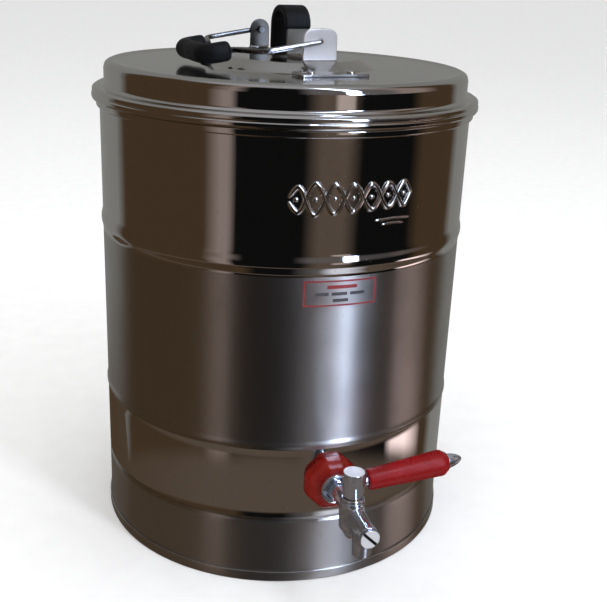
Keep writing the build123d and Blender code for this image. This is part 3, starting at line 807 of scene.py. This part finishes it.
STRAP_RIVET_OUT = 24.5
rivets("ear_rivets", "bracket_rivets",
       [(x, y) for y in (-EAR_RIVET_OUT, EAR_RIVET_OUT) for x in (-EAR_RIVET_X, EAR_RIVET_X)],
       top=386.35, shank=1.6, head=3.4, height=2.0, segments=32)
rivets("handle_rivets", "strap_rivets",
       [(X_STRAP, y) for y in (-STRAP_RIVET_OUT, STRAP_RIVET_OUT)],
       top=393.55, shank=2.0, head=4.2, height=2.4, segments=40)

# ------------------------------------------------------------------ strap handle
Z_STRAP_FOOT, Z_STRAP_TOP = 392.55, 427.2
# middle line of the strap, (-y, z)
STRAP_PATH = round_path(
    [(31.0, Z_STRAP_FOOT), (14.0, Z_STRAP_FOOT), (13.0, Z_STRAP_TOP),
     (-13.0, Z_STRAP_TOP), (-14.0, Z_STRAP_FOOT), (-31.0, Z_STRAP_FOOT)],
    [3.2, 12.6, 12.6, 3.2], 14)


def from_strap(points):
    return points - np.array([X_STRAP, 0, 0])


def strap_field(points):
    points = from_strap(points)
    # the feet run on past their ends, and the plan trims them
    path = [(40.0, Z_STRAP_FOOT)] + STRAP_PATH[1:-1] + [(-40.0, Z_STRAP_FOOT)]
    d = strip(points, path, 9.0, 0.4)
    x, y, z = np.abs(points[:, 0]), np.abs(points[:, 1]), points[:, 2]
    d = smax(d, rounded(x - 4.0, y - 26.0, 5.0), 0.5)
    return np.maximum(d, np.where(z < 397, 2.06 - np.hypot(x, y - STRAP_RIVET_OUT), -9.0))


def sleeve_field(points):
    """Soft oval rubber round the strap, its front leg shorter than its rear one."""
    x, y, z = from_strap(points).T
    x = np.abs(x)
    core = [p for p in STRAP_PATH if p[1] > (415.0 if p[0] > 0 else 405.0)]

    def line(front_z, rear_z):
        front, rear = (13.0 + (Z_STRAP_TOP - end) / (Z_STRAP_TOP - Z_STRAP_FOOT)
                       for end in (front_z, rear_z))
        return path_distance(-y, z, [(front, front_z)] + core + [(-rear, rear_z)])

    cover = np.hypot(np.maximum(line(414.8, 397.5) - 0.9, 0), np.maximum(x - 8.8 - 0.2, 0)) - 1.65
    hollow = np.maximum(line(406.0, 393.8) - 1.06, x - 9.06)
    return smax(cover, -hollow, 0.3)


# The arch takes the darkened strap steel, painted shade.
ob = field_mesh("strap_arch", strap_field, (X_STRAP - 10.5, -33, 390), (X_STRAP + 10.5, 33, 430),
                0.42, STRAP, turn_z(HINGE))
put(ob, "lid", "satin_steel", "lid_strap_handle")
ob = field_mesh("handle_sleeve", sleeve_field, (X_STRAP - 12, -18.5, 394.5),
                (X_STRAP + 12, 18.5, 431.5), 0.4, BLACK, turn_z(HINGE))
put(ob, "lid", "black_rubber", "strap_sleeve")

# ------------------------------------------------------------------ folding bail
BAIL_ARM, BAIL_REACH, BAIL_GRIP = 62.25, 79.0, 28.0    # half width, reach, half grip width


def bail_wire():
    half = [(0, -54.4), (0, -BAIL_ARM), (-47.0, -BAIL_ARM), (-57.0, -BAIL_GRIP),
            (-BAIL_REACH, -BAIL_GRIP)]
    path = round_path(half + [(x, -y) for x, y in half[::-1]],
                      [2.4, 8, 5, 17, 17, 5, 8, 2.4], 16)
    parts = [tube("rod", fold_flat(path), circle(2.0, 28), [WIRE])]
    button = [(0, -0.6), (2.5, -0.6), (2.9, -0.2), (2.9, 0.35), (2.2, 0.6), (0, 0.6)]
    for y in (54.0, -54.0):
        head = lathe("head", button, [WIRE], 32, axis="y", base=(0, y, 0))
        move_verts(head, fold)
        parts.append(head)
    ob = join("bail_wire_form", parts, "bail", "polished_steel", "bail_wire")
    # Painted highlight: the near arm beside its ear takes the lighter wire copy; the rest keeps
    # the darker copy's painted shade.
    paint(ob, WIRE_PAINTED_HIGHLIGHT, lambda c, n: c.y < -30 and c.x > -29)


def bail_grip():
    path = fold_flat(resample(round_path(
        [(-61.2, -BAIL_GRIP), (-BAIL_REACH, -BAIL_GRIP), (-BAIL_REACH, BAIL_GRIP),
         (-61.2, BAIL_GRIP)], [17, 17], 26), 1.1))
    along = np.concatenate([[0], np.cumsum(np.linalg.norm(np.diff(path, axis=0), axis=1))])
    length = along[-1]
    from_end = np.minimum(along, length - along)
    # rounded ends, and three faint swells between them
    swell = 0.08 * np.sin(along / length * math.pi * 2 * 3) * np.clip(from_end / 8, 0, 1)
    radius = 7.42 - 1.1 * np.exp(-from_end / 0.9) + swell
    section = [(math.cos(a) * (1 + 0.012 * math.cos(2 * a)), math.sin(a))
               for a in np.linspace(0, 2 * math.pi, 48, endpoint=False)]
    ob = tube("bail_handgrip", path, section, [BLACK], sharp=60, inner=circle(2.05, 48),
              scale=radius)
    put(ob, "bail", "black_rubber", "bail_grip")


bail_wire()
bail_grip()


# ------------------------------------------------------------------ tap
# Parts turned about the tap's axis have outlines of (radius, y).
def tap_radial(points):
    return np.hypot(points[:, 0], points[:, 2] - Z_TAP)


def valve_radial(points):
    return np.hypot(points[:, 0], points[:, 1] - Y_VALVE)


def washer_field(points):
    """Octagonal flange that narrows towards the front and fits the round wall."""
    x, y, z = points.T
    radial = tap_radial(points)
    depth = np.clip((-147.0 - y) / 13.2, 0, 1)
    sides = polygon(x, z - Z_TAP, 20.8 - 2.0 * depth ** 1.6, 8, 8.5)
    edge = 6.2
    d = rounded(sides + edge, -160.2 - y + edge, edge)
    d = smax(d, 148.12 - np.hypot(x, y), 0.5)
    d = smax(d, 10.2 - radial, 0.5)
    # wider hollow behind the front face
    return smax(d, -np.maximum(radial - 12.6, -159.4 - y), 0.4) * 0.95


ob = field_mesh("red_washer", washer_field, (-23, -162, Z_TAP - 23), (23, -144.5, Z_TAP + 23),
                0.5, RED_WASHER)
put(ob, "urn_body", "red_plastic", "tap_flange_washer")

CUP_OUTLINE = round_path([
    (10.2, -160.0), (11.4, -160.0), (12.0, -161.0), (12.0, -163.0), (11.2, -163.9),
    (10.4, -163.6), (9.0, -161.9), (7.5, -161.7), (7.5, -161.25), (10.2, -161.2),
    (10.2, -160.0)], [0.4, 0.6, 0.5, 0.5, 0.8, 0.8, 0.1, 0.1, 0], 5)
ob = lathe("chrome_cup", CUP_OUTLINE, [CHROME], 128, axis="y", base=TAP_BASE)
put(ob, "urn_body", "tap_chrome", "tap_escutcheon")


def casting_field(points):
    x, y, z = points.T
    radial, valve = tap_radial(points), valve_radial(points)
    spout_radial = np.hypot(x, y - Y_SPOUT)
    # neck waisted between the cup and the chamber
    t = np.clip((-161.0 - y) / 34.0, 0, 1)
    neck_radius = 7.15 - 0.9 * np.sin(math.pi * np.clip(t * 1.25, 0, 1))
    neck = np.maximum(radial - neck_radius, np.abs(y + 178.0) - 17.0)
    # tail through the walls, threaded from y = -146 inwards
    tail = cylinder(radial, y, 10.0, -161.1, -114.0, 0.6)
    ridge = 0.35 * np.cos(2 * math.pi * (y / 1.8) + np.arctan2(z - Z_TAP, x))
    thread = np.maximum(radial - (9.6 + ridge), np.abs(y + 130) - 15.9)
    tail = np.where(y > -146.0, np.maximum(tail, thread * 0.7), tail)
    chamber = cylinder(valve, z, 9.0, 77.0, 99.55, 0.9)
    chamber_ring = cylinder(valve, z, 9.0, 96.6, 99.55, 0.5)
    barrel = cylinder(radial, y, 7.6, Y_FACE + 2.35, Y_VALVE, 0.5)
    barrel_lip = cylinder(radial, y, 7.85, Y_FACE + 2.35, Y_FACE + 5.2, 0.5)
    spout = np.maximum(spout_radial - np.where(z > 80.0, 7.3, 7.0), np.abs(z - 79.0) - 10.0)
    d = smin(neck, chamber, 3.2)
    d = smin(d, barrel, 2.4)
    d = smin(d, spout, 3.0)
    d = np.minimum(d, chamber_ring)
    d = np.minimum(d, barrel_lip)
    d = smin(d, tail, 0.6)
    d = smax(d, 69.0 - z, 0.5)
    # bores of the tap, the valve and the spout
    bore = np.maximum(np.maximum(radial - 4.6, y + 112.0), (Y_FACE + 1.0) - y)
    d = smax(d, -bore, 0.4)
    d = smax(d, -np.maximum(valve - 6.5, 60 - z), 0.4)
    return smax(d, -np.maximum(spout_radial - 5.1, z - Z_TAP), 0.5)


ob = field_mesh("tap_casting", casting_field, (-11.5, -231.5, 67.5), (11.5, -112.5, 101.5),
                0.42, CHROME)
put(ob, "urn_body", "tap_chrome", "tap_body")

ob = lathe("packing_collar",
           ring_section(6.6, 8.5, 99.65, 101.0, 102.0, [0.2, 0.7, 0.7, 0.2], 5),
           [CHROME], 96, base=VALVE_BASE)
put(ob, "urn_body", "tap_chrome", "tap_collar_ring")


def end_plug_field(points):
    """Flat head with a diagonal slot, and a shank inside the barrel."""
    x, y, z = points.T
    radial = tap_radial(points)
    d = np.minimum(cylinder(radial, y, 7.15, Y_FACE, Y_FACE + 1.9, 0.45),
                   cylinder(radial, y, 4.55, Y_FACE + 1.0, Y_FACE + 7.5, 0.3))
    across = np.abs((x + (z - Z_TAP)) / math.sqrt(2)) - 1.0
    return smax(d, -np.maximum(across, y - (Y_FACE + 0.95)), 0.3)


def in_slot(c, n):
    return (Y_FACE + 0.15 < c.y < Y_FACE + 1.3 and abs(c.x + c.z - Z_TAP) < 1.5
            and math.hypot(c.x, c.z - Z_TAP) < 7.0)


ob = field_mesh("slotted_plug", end_plug_field, (-8.2, Y_FACE - 1, Z_TAP - 8.2),
                (8.2, Y_FACE + 8.5, Z_TAP + 8.2), 0.2, CHROME)
# Painted light on the plug's front face.
paint(ob, CHROME_PAINTED_LIGHT, lambda c, n: n.y < -0.8 and c.y < Y_FACE + 0.3)
paint(ob, SLOT, in_slot)
put(ob, "urn_body", "tap_chrome", "slotted_end_plug")
ob = lathe("plug_seal_ring",
           ring_section(4.7, 6.6, Y_FACE + 1.92, Y_FACE + 2.1, Y_FACE + 2.28,
                        [0.08, 0.12, 0.12, 0.08], 3),
           [BLACK], 64, axis="y", base=TAP_BASE)
put(ob, "urn_body", "black_rubber", "end_plug_seal")

# ------------------------------------------------------------------ hub and lever
# The lever is made along Z in its own frame, which points it towards +X.
LEVER = Matrix.Translation((0, Y_VALVE, 113.0)) @ Matrix.Rotation(math.radians(90 - 6.3), 4, "Y")
Z_HUB = 122.5


def hub_field(points):
    z, radial = points[:, 2], valve_radial(points)
    body = cylinder(radial, z, 7.9, 102.2, Z_HUB, 0.9)
    chamfer = (radial - 7.9) + (103.9 - z)
    body = smax(body, chamfer * 0.707, 0.5)
    inverse = np.array(LEVER.inverted())
    own = points @ inverse[:3, :3].T + inverse[:3, 3]
    boss = cylinder(np.hypot(own[:, 0], own[:, 1]), own[:, 2], 4.7, 2.0, 10.2, 0.5)
    d = smin(body, boss, 1.6)
    dish = Z_HUB - 0.35 * np.clip(1 - (radial / 6.6) ** 2, 0, 1)
    d = smax(d, z - dish, 0.5)
    socket = np.maximum(radial - 6.5, z - 104.3)
    return smax(d, -socket, 0.3)


ob = field_mesh("valve_hub", hub_field, (-9.5, Y_VALVE - 9.5, 101), (12.5, Y_VALVE + 9.5, 124),
                0.3, CHROME)
# Painted light on the hub's upward top face.
paint(ob, CHROME_PAINTED_LIGHT, lambda c, n: n.z > 0.75 and c.z > 121.4)
put(ob, "tap_valve", "tap_chrome", "tap_hub")


def lever_part(name, loop, material, segments, slot, node):
    ob = lathe(name, loop, [material], segments)
    move_verts(ob, lambda points: np.array([LEVER @ Vector(p) for p in points]))
    put(ob, "tap_valve", slot, node)


GRIP_START, GRIP_END = 10.5, 73.0
CAP_START = GRIP_END + 0.05
GRIP_OUTLINE = round_path([
    (3.1, GRIP_START + 2), (3.1, GRIP_START), (7.2, GRIP_START), (7.75, GRIP_START + 0.9),
    (8.3, GRIP_START + 18), (9.2, GRIP_END - 20), (9.72, GRIP_END - 6.2),
    (9.5, GRIP_END - 4.4), (6.6, GRIP_END), (3.1, GRIP_END), (3.1, GRIP_START + 2)],
    [0.5, 0.9, 1.0, 40, 60, 2.2, 1.5, 0.9, 0.5], 7)
# (radius, distance beyond CAP_START)
CAP_STATIONS = ((0, 3.6), (3.05, 3.6), (3.05, 0), (5.3, 0), (5.55, 0.4), (4.95, 4.2),
                (3.75, 7.8), (2.1, 10.6), (0.8, 11.7), (0, 11.95))
CAP_OUTLINE = round_path([(r, CAP_START + along) for r, along in CAP_STATIONS],
                         [0.2, 0.2, 0.15, 0.3, 3.0, 4.0, 2.0, 0.5], 5)
ROD_OUTLINE = [(0, 3.2), (2.7, 3.2), (3.0, 3.5), (3.0, 76.2), (2.7, 76.5), (0, 76.5)]
lever_part("lever_handle", dense(GRIP_OUTLINE, 3.0), RED, 96, "red_plastic", "lever_grip")
lever_part("lever_tip", CAP_OUTLINE, CHROME, 64, "tap_chrome", "lever_end_cap")
lever_part("lever_rod", ROD_OUTLINE, CHROME, 40, "tap_chrome", "lever_stem")

# ------------------------------------------------------------------ valve plug
Z_O_RINGS = (81.4, 96.4)


def plug_field(points):
    y, z, radial = points[:, 1], points[:, 2], valve_radial(points)
    d = np.minimum(cylinder(radial, z, 6.45, 77.6, 104.2, 0.3),
                   cylinder(radial, z, 3.0, 68.2, 78.5, 0.3))
    for groove in Z_O_RINGS:
        d = smax(d, -np.maximum(5.1 - radial, np.abs(z - groove) - 0.85), 0.2)
    # cross hole along X
    return smax(d, 3.6 - np.hypot(y - Y_VALVE, z - Z_TAP), 0.3)


ob = field_mesh("valve_plug", plug_field, (-7.5, Y_VALVE - 7.5, 67.5), (7.5, Y_VALVE + 7.5, 105),
                0.35, BRASS)
put(ob, "tap_valve", "brass", "tap_plug")
parts = [lathe("o_ring", [(5.78 + r, z + h) for r, h in circle(0.66, 16)], [BLACK], 64,
               base=VALVE_BASE) for z in Z_O_RINGS]
join("o_ring_pair", parts, "tap_valve", "black_rubber", "plug_o_rings")
ob = lathe("under_washer", ring_section(3.05, 7.0, 74.9, 75.6, 76.4, [0.2, 0.3, 0.4, 0.2], 4),
           [CHROME], 64, base=VALVE_BASE)
put(ob, "tap_valve", "tap_chrome", "plug_washer")


def plug_nut_field(points):
    x, y, z = points.T
    radial = valve_radial(points)
    d = hexagon(x, y - Y_VALVE, z, 5.0, 70.6, 74.85, edge=0.3, corner=0.25)
    d = smax(d, (radial - 5.35 + (70.9 - z) * 1.7) * 0.5, 0.2)
    return smax(d, 3.02 - radial, 0.2)


ob = field_mesh("under_nut", plug_nut_field, (-6.6, Y_VALVE - 6.6, 69.8),
                (6.6, Y_VALVE + 6.6, 75.6), 0.22, CHROME)
put(ob, "tap_valve", "tap_chrome", "plug_nut")


# ------------------------------------------------------------------ nut and seal inside the vessel
def back_nut_field(points):
    x, y, z = points.T
    radial = tap_radial(points)
    d = hexagon(x, z - Z_TAP, y, 14.0, -125.95, -118.45, edge=0.4, corner=0.5)
    d = smax(d, (radial - 15.1 - (-118.45 - y) * 1.7) * 0.5, 0.3)
    return smax(d, 10.05 - radial, 0.4)


def inner_seal_field(points):
    """Ring between the nut and the curved inner wall."""
    x, y, z = points.T
    radial = tap_radial(points)
    d = np.maximum(radial - 12.4, np.hypot(x, y) - 129.42)
    d = smax(d, y + 126.0, 0.3)
    return smax(d, 10.15 - radial, 0.3)


ob = field_mesh("inner_backnut", back_nut_field, (-17.5, -127.2, Z_TAP - 17.5),
                (17.5, -117.2, Z_TAP + 17.5), 0.45, BRACKET)
put(ob, "urn_body", "satin_steel", "tap_backnut")
ob = field_mesh("inner_seal_ring", inner_seal_field, (-13.5, -130.5, Z_TAP - 13.5),
                (13.5, -125, Z_TAP + 13.5), 0.35, SILICONE)
put(ob, "urn_body", "silicone", "tap_inner_seal")


# ------------------------------------------------------------------ label
# Places on the wall are (around, z); around is the arc length from the front towards +X.
def on_wall(around, z, lift):
    r, azimuth = R_SHELL + lift, around / R_SHELL
    return np.array([r * math.sin(azimuth), -r * math.cos(azimuth), z])


def wall_patch(name, span, lift, thick, material, corner):
    """Thin curved plate with rounded corners; span is left, right, low, high."""
    left, right, low, high = span
    step = 1.5
    columns = max(2, int((right - left) / step) + 1)
    rows = max(2, int((high - low) / step) + 1)
    mid_a, mid_z = (left + right) / 2, (low + high) / 2
    flat_a, flat_z = (right - left) / 2 - corner, (high - low) / 2 - corner
    places = []
    for z in np.linspace(low, high, rows):
        for around in np.linspace(left, right, columns):
            a, b = around - mid_a, z - mid_z
            over_a, over_z = abs(a) - flat_a, abs(b) - flat_z
            if over_a > 0 and over_z > 0:
                pull = max(over_a, over_z) / math.hypot(over_a, over_z)
                a = math.copysign(flat_a + over_a * pull, a)
                b = math.copysign(flat_z + over_z * pull, b)
            places.append((mid_a + a, mid_z + b))
    verts = [on_wall(a, z, height) for height in (lift + thick, lift) for a, z in places]
    back = len(places)
    faces = []
    for i in range(rows - 1):
        for j in range(i * columns, (i + 1) * columns - 1):
            up = j + columns
            faces.append((j, j + 1, up + 1, up))
            faces.append((back + j, back + up, back + up + 1, back + j + 1))
    last = (rows - 1) * columns
    edge = list(range(columns))
    edge += [i * columns + columns - 1 for i in range(1, rows)]
    edge += [last + j for j in range(columns - 2, -1, -1)]
    edge += [i * columns for i in range(rows - 2, 0, -1)]
    faces += [(b, a, back + a, back + b) for a, b in zip(edge, edge[1:] + edge[:1])]
    return add_mesh(name, verts, faces, [material], None, 50)


def print_patches(name, material, rows):
    """Ink on the label; each row is a span and its corner radius."""
    parts = [wall_patch("ink", span, 0.19, 0.06, material, corner) for span, corner in rows]
    join(name, parts, "urn_body", "label_foil")


ob = wall_patch("label_sheet", (-28.4, 28.4, 230.6, 251.4), 0.03, 0.16, FILM, 1.2)
put(ob, "urn_body", "label_foil", "label_plate")
LEFT, RIGHT, LOW, HIGH, LINE = -27.6, 27.6, 231.3, 250.7, 1.25    # printed border and its line
print_patches("label_border", PRINT_RED, (
    ((LEFT, RIGHT, HIGH - LINE, HIGH), 0.3),
    ((LEFT, RIGHT, LOW, LOW + LINE), 0.3),
    ((LEFT, LEFT + LINE, LOW + LINE, HIGH - LINE), 0.05),
    ((RIGHT - LINE, RIGHT, LOW + LINE, HIGH - LINE), 0.05),
    ((-10.5, 12.5, 244.4, 247.0), 0.5)))
print_patches("label_bars", PRINT_GREY, (
    ((-19.0, -9.0, 239.3, 241.7), 0.4), ((-7.0, 5.0, 239.3, 241.7), 0.4),
    ((7.0, 18.5, 239.3, 241.7), 0.4), ((-6.0, 6.0, 234.4, 236.8), 0.4)))


# ------------------------------------------------------------------ pressed braid
def wall_bead(points, width, height, taper):
    """Half-round raised line on the wall, its ends tapered."""
    sunk = 0.25
    path = resample(points, 0.55)
    places = np.array([on_wall(a, z, -sunk) for a, z in path])
    out = np.array([[math.sin(a / R_SHELL), -math.cos(a / R_SHELL), 0] for a, z in path])
    tangent = np.gradient(places, axis=0)
    tangent /= np.linalg.norm(tangent, axis=1)[:, None]
    side = np.cross(tangent, out)
    along = np.concatenate([[0], np.cumsum(np.hypot(*np.diff(path, axis=0).T))])
    from_end = np.minimum(along, along[-1] - along)
    scale = np.sqrt(np.clip(1 - (1 - np.clip(from_end / taper, 0, 1)) ** 2, 0.02, 1))
    count, verts = 20, []
    for i in range(len(places)):
        for a in np.linspace(0, 2 * math.pi, count, endpoint=False):
            across = width / 2 * scale[i] * math.cos(a)
            rise = (height + sunk) * scale[i] * max(math.sin(a), -0.25)
            verts.append(places[i] + side[i] * across + out[i] * rise)
    faces = ring_quads(len(places), count)
    faces.append(tuple(range(count))[::-1])
    faces.append(tuple((len(places) - 1) * count + j for j in range(count)))
    return add_mesh("bead", verts, faces, [POLISH], None, 60)


BRAID_START = math.radians(-15.8) * R_SHELL
BRAID_LENGTH = math.radians(21.6) * R_SHELL - BRAID_START
BRAID_EYES = 7
BRAID_PHASE = 0.35


def strand(phase, t):
    """A wave that narrows to the right; t runs from 0 to 1 along the braid."""
    swing = (8.2 + 5.2 * math.exp(-t * 3.2)) * min(1.0, 0.25 + 7.0 * t, 0.3 + 9.0 * (1 - t))
    wave = math.sin(2 * math.pi * BRAID_EYES / 2 * t + phase)
    return BRAID_START + BRAID_LENGTH * t, 309.0 + 1.6 * t + swing * wave


def braid():
    """Two twined waves, a bead in each eye, and two fine lines below the right end."""
    parts = [wall_bead([strand(phase, t) for t in np.linspace(0, 1, 420)],
                       width=4.1, height=1.4, taper=7.0)
             for phase in (BRAID_PHASE, BRAID_PHASE + math.pi)]
    for k in range(1, BRAID_EYES + 1):
        t = (k - 0.5 - BRAID_PHASE / math.pi) / BRAID_EYES
        a, z = BRAID_START + BRAID_LENGTH * t, 309.0 + 1.6 * t
        parts.append(wall_bead([(a - 2.3, z), (a, z + 0.01), (a + 2.3, z)],
                               width=3.6, height=1.1, taper=2.3))
    # height, and the two ends as shares of the braid's length
    for z, start, end in ((308 - 15.4, 0.66, 0.99), (308 - 18.8, 0.72, 0.93)):
        left, middle, right = (BRAID_START + BRAID_LENGTH * t
                               for t in (start, (start + end) / 2, end))
        parts.append(wall_bead([(left, z), (middle, z + 0.6), (right, z)],
                               width=2.1, height=0.8, taper=5.0))
    join("pressed_braid", parts, "urn_body", "polished_steel")


braid()

# ------------------------------------------------------------------ CAD pieces kept as they are
for node, material in (("insulation_foam", FOAM), ("lid_insulation", FOAM),
                       ("tap_wall_sleeve", WHITE)):
    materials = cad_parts[node].data.materials
    materials.clear()
    materials.append(material)


# ------------------------------------------------------------------ stage (metres)
def floor():
    """Pale disc, left out of reflections."""
    mesh = bpy.data.meshes.new("floor")
    count = 96
    verts = [(0, 0, 0)] + [(x, y, 0) for x, y in circle(60.0, count)]
    mesh.from_pydata(verts, [], [(0, 1 + i, 1 + (i + 1) % count) for i in range(count)])
    ob = bpy.data.objects.new("floor", mesh)
    bpy.context.scene.collection.objects.link(ob)
    m = Material("floor_pale")
    grain = m.remap(m.noise(scale=40.0, detail=3.0, rough=0.5), (0.3, 0.7))
    colour = m.mix(grain, (0.90, 0.90, 0.90), (0.93, 0.93, 0.93))
    mesh.materials.append(m.finish(Base_Color=colour, Roughness=0.85, Specular_IOR_Level=0.1))
    ob.visible_glossy = False


floor()

PALE, MID, STRIP = (0.25, 0.25, 0.24), (0.14, 0.13, 0.13), (0.30, 0.24, 0.22)
WARM, TAN, FLAG = (0.07, 0.045, 0.025), (0.12, 0.09, 0.07), (0.006, 0.006, 0.006)
COOL, TOP = (0.85, 0.88, 1.0), (0.40, 0.40, 0.42)
# Colours seen in reflections, by azimuth in degrees from the front (-Y) towards +X.
WALLS = ((-180, PALE), (-140, PALE), (-130, WARM), (-65, WARM), (-55, STRIP), (-50, STRIP),
         (-45, FLAG), (-5, FLAG), (5, TAN), (20, TAN), (30, FLAG), (65, FLAG), (75, WARM),
         (105, WARM), (115, PALE), (180, PALE))
NEAR = ((-180, WARM), (-60, TAN), (60, TAN), (180, WARM))
GROUND = ((-180, WARM), (-45, WARM), (-35, FLAG), (-10, FLAG), (10, MID), (20, COOL),
          (30, COOL), (45, TAN), (90, WARM), (180, WARM))
UPPER = ((-180, PALE), (-140, PALE), (-130, WARM), (-65, WARM), (-50, STRIP), (-40, FLAG),
         (-10, FLAG), (0, MID), (50, MID), (60, STRIP), (75, STRIP), (90, WARM), (105, WARM),
         (115, PALE), (180, PALE))
# Glowing panels: azimuths, then elevations, where each starts, is full, starts to fade and
# ends (degrees); colour added.
PANELS = (
    ((20.0, 22.0, 28.0, 30.5), (0, 6, 64, 80), (12.5, 15.0, 20.0)),             # tall softbox
    ((12, 15, 24, 26), (-9.6, -8.2, -3, 2), (0.42, 0.36, 0.34)),                # below it
    ((61, 67, 80, 98), (-28.6, -27.6, -24.0, -21.0), (1.6, 1.28, 1.28)))        # low, on the right


def studio():
    """Painted surroundings for reflections, plain white light for everything else."""
    world = bpy.data.worlds.new("studio")
    bpy.context.scene.world = world
    world.use_nodes = True
    world.cycles.sampling_method = "NONE"
    n = Nodes(world.node_tree)
    direction = n.add("ShaderNodeTexCoord").outputs["Generated"]
    x, y, z = n.add("ShaderNodeSeparateXYZ", {0: direction}).outputs
    azimuth = n.math("ARCTAN2", x, n.math("MULTIPLY", y, -1.0))
    turn = n.scaled(azimuth, by=1 / (2 * math.pi), plus=0.5)
    elevation = n.math("ARCSINE", z)

    def painted(stops):
        return n.ramp(turn, [((angle + 180.0) / 360.0, colour) for angle, colour in stops])

    def fade(value, start, end, to=(0.0, 1.0)):
        return n.remap(value, (math.radians(start), math.radians(end)), to)

    def band(value, start, full, falling, end):
        return n.math("MULTIPLY", fade(value, start, full), fade(value, falling, end, (1.0, 0.0)))

    # the walls reach lower on the +X side
    shift = fade(azimuth, -143, -135, (math.radians(-6.5), 0.0))
    wall_elevation = n.math("ADD", elevation, shift)
    # each layer covers the ones below it from an elevation upwards
    colour = painted(GROUND)
    for value, start, end, layer in (
            (elevation, -34.5, -33, painted(NEAR)), (wall_elevation, -29.3, -28.3, painted(WALLS)),
            (elevation, -2, 10, painted(UPPER)), (elevation, 50, 66, TOP)):
        colour = n.mix(fade(value, start, end), colour, layer)
    for azimuths, elevations, glow in PANELS:
        shape = n.math("MULTIPLY", band(azimuth, *azimuths), band(elevation, *elevations))
        colour = n.mix(shape, colour, glow, "ADD")

    def background(light, strength):
        return n.add("ShaderNodeBackground", {0: light, 1: strength}).outputs[0]

    glossy = n.add("ShaderNodeLightPath").outputs["Is Glossy Ray"]
    mixed = n.add("ShaderNodeMixShader", {
        0: glossy, 1: background((1.0, 1.0, 1.0), strength=0.86),
        2: background(colour, strength=1.0)})
    n.add("ShaderNodeOutputWorld", {0: mixed.outputs[0]})


studio()


def area(name, azimuth, elevation, distance, size, energy, colour):
    """Soft rectangular light aimed at the urn's middle, unseen in reflections."""
    a, e = math.radians(azimuth), math.radians(elevation)
    aim = Vector((0, 0, 0.2))
    towards = Vector((math.sin(a) * math.cos(e), -math.cos(a) * math.cos(e), math.sin(e)))
    light = bpy.data.lights.new(name, "AREA")
    light.shape = "RECTANGLE"
    light.size, light.size_y = size
    light.energy = energy
    light.color = colour
    ob = bpy.data.objects.new(name, light)
    bpy.context.scene.collection.objects.link(ob)
    ob.location = aim + towards * distance
    ob.rotation_euler = (aim - ob.location).to_track_quat("-Z", "Y").to_euler()
    ob.visible_glossy = False
    ob.visible_camera = False


area("key_soft", azimuth=26, elevation=38, distance=2.6, size=(0.34, 1.9), energy=22,
     colour=(0.92, 0.95, 1.0))
area("fill_soft", azimuth=-55, elevation=30, distance=3.0, size=(2.2, 1.6), energy=16,
     colour=(1.0, 0.96, 0.92))
area("top_soft", azimuth=30, elevation=80, distance=2.6, size=(2.2, 2.2), energy=16,
     colour=(1, 1, 1))


def camera():
    distance, height = 0.780, 0.4613
    pitch, yaw, roll = 0.3502, 0.0260, 0.0421        # radians; pitch looks down
    orbit = turn_z(math.radians(-17.2))              # round the urn from the front
    forward = np.array([math.sin(yaw) * math.cos(pitch), math.cos(yaw) * math.cos(pitch),
                        -math.sin(pitch)])
    level = np.array([math.cos(yaw), -math.sin(yaw), 0.0])
    upright = np.cross(level, forward)
    right = math.cos(roll) * level + math.sin(roll) * upright
    up = -math.sin(roll) * level + math.cos(roll) * upright
    pose = np.eye(4)
    for column, vector in enumerate((right, up, -forward, np.array([0, -distance, height]))):
        pose[:3, column] = orbit @ vector
    lens = bpy.data.cameras.new("camera")
    ob = bpy.data.objects.new("camera", lens)
    bpy.context.scene.collection.objects.link(ob)
    ob.matrix_world = Matrix(pose.tolist())
    lens.sensor_width = 36.0
    lens.lens = 56.197364
    lens.shift_x = 0.0024711697
    lens.shift_y = 0.012850082
    lens.clip_start = 0.02
    bpy.context.scene.camera = ob


camera()
bpy.context.scene.view_settings.view_transform = "Standard"
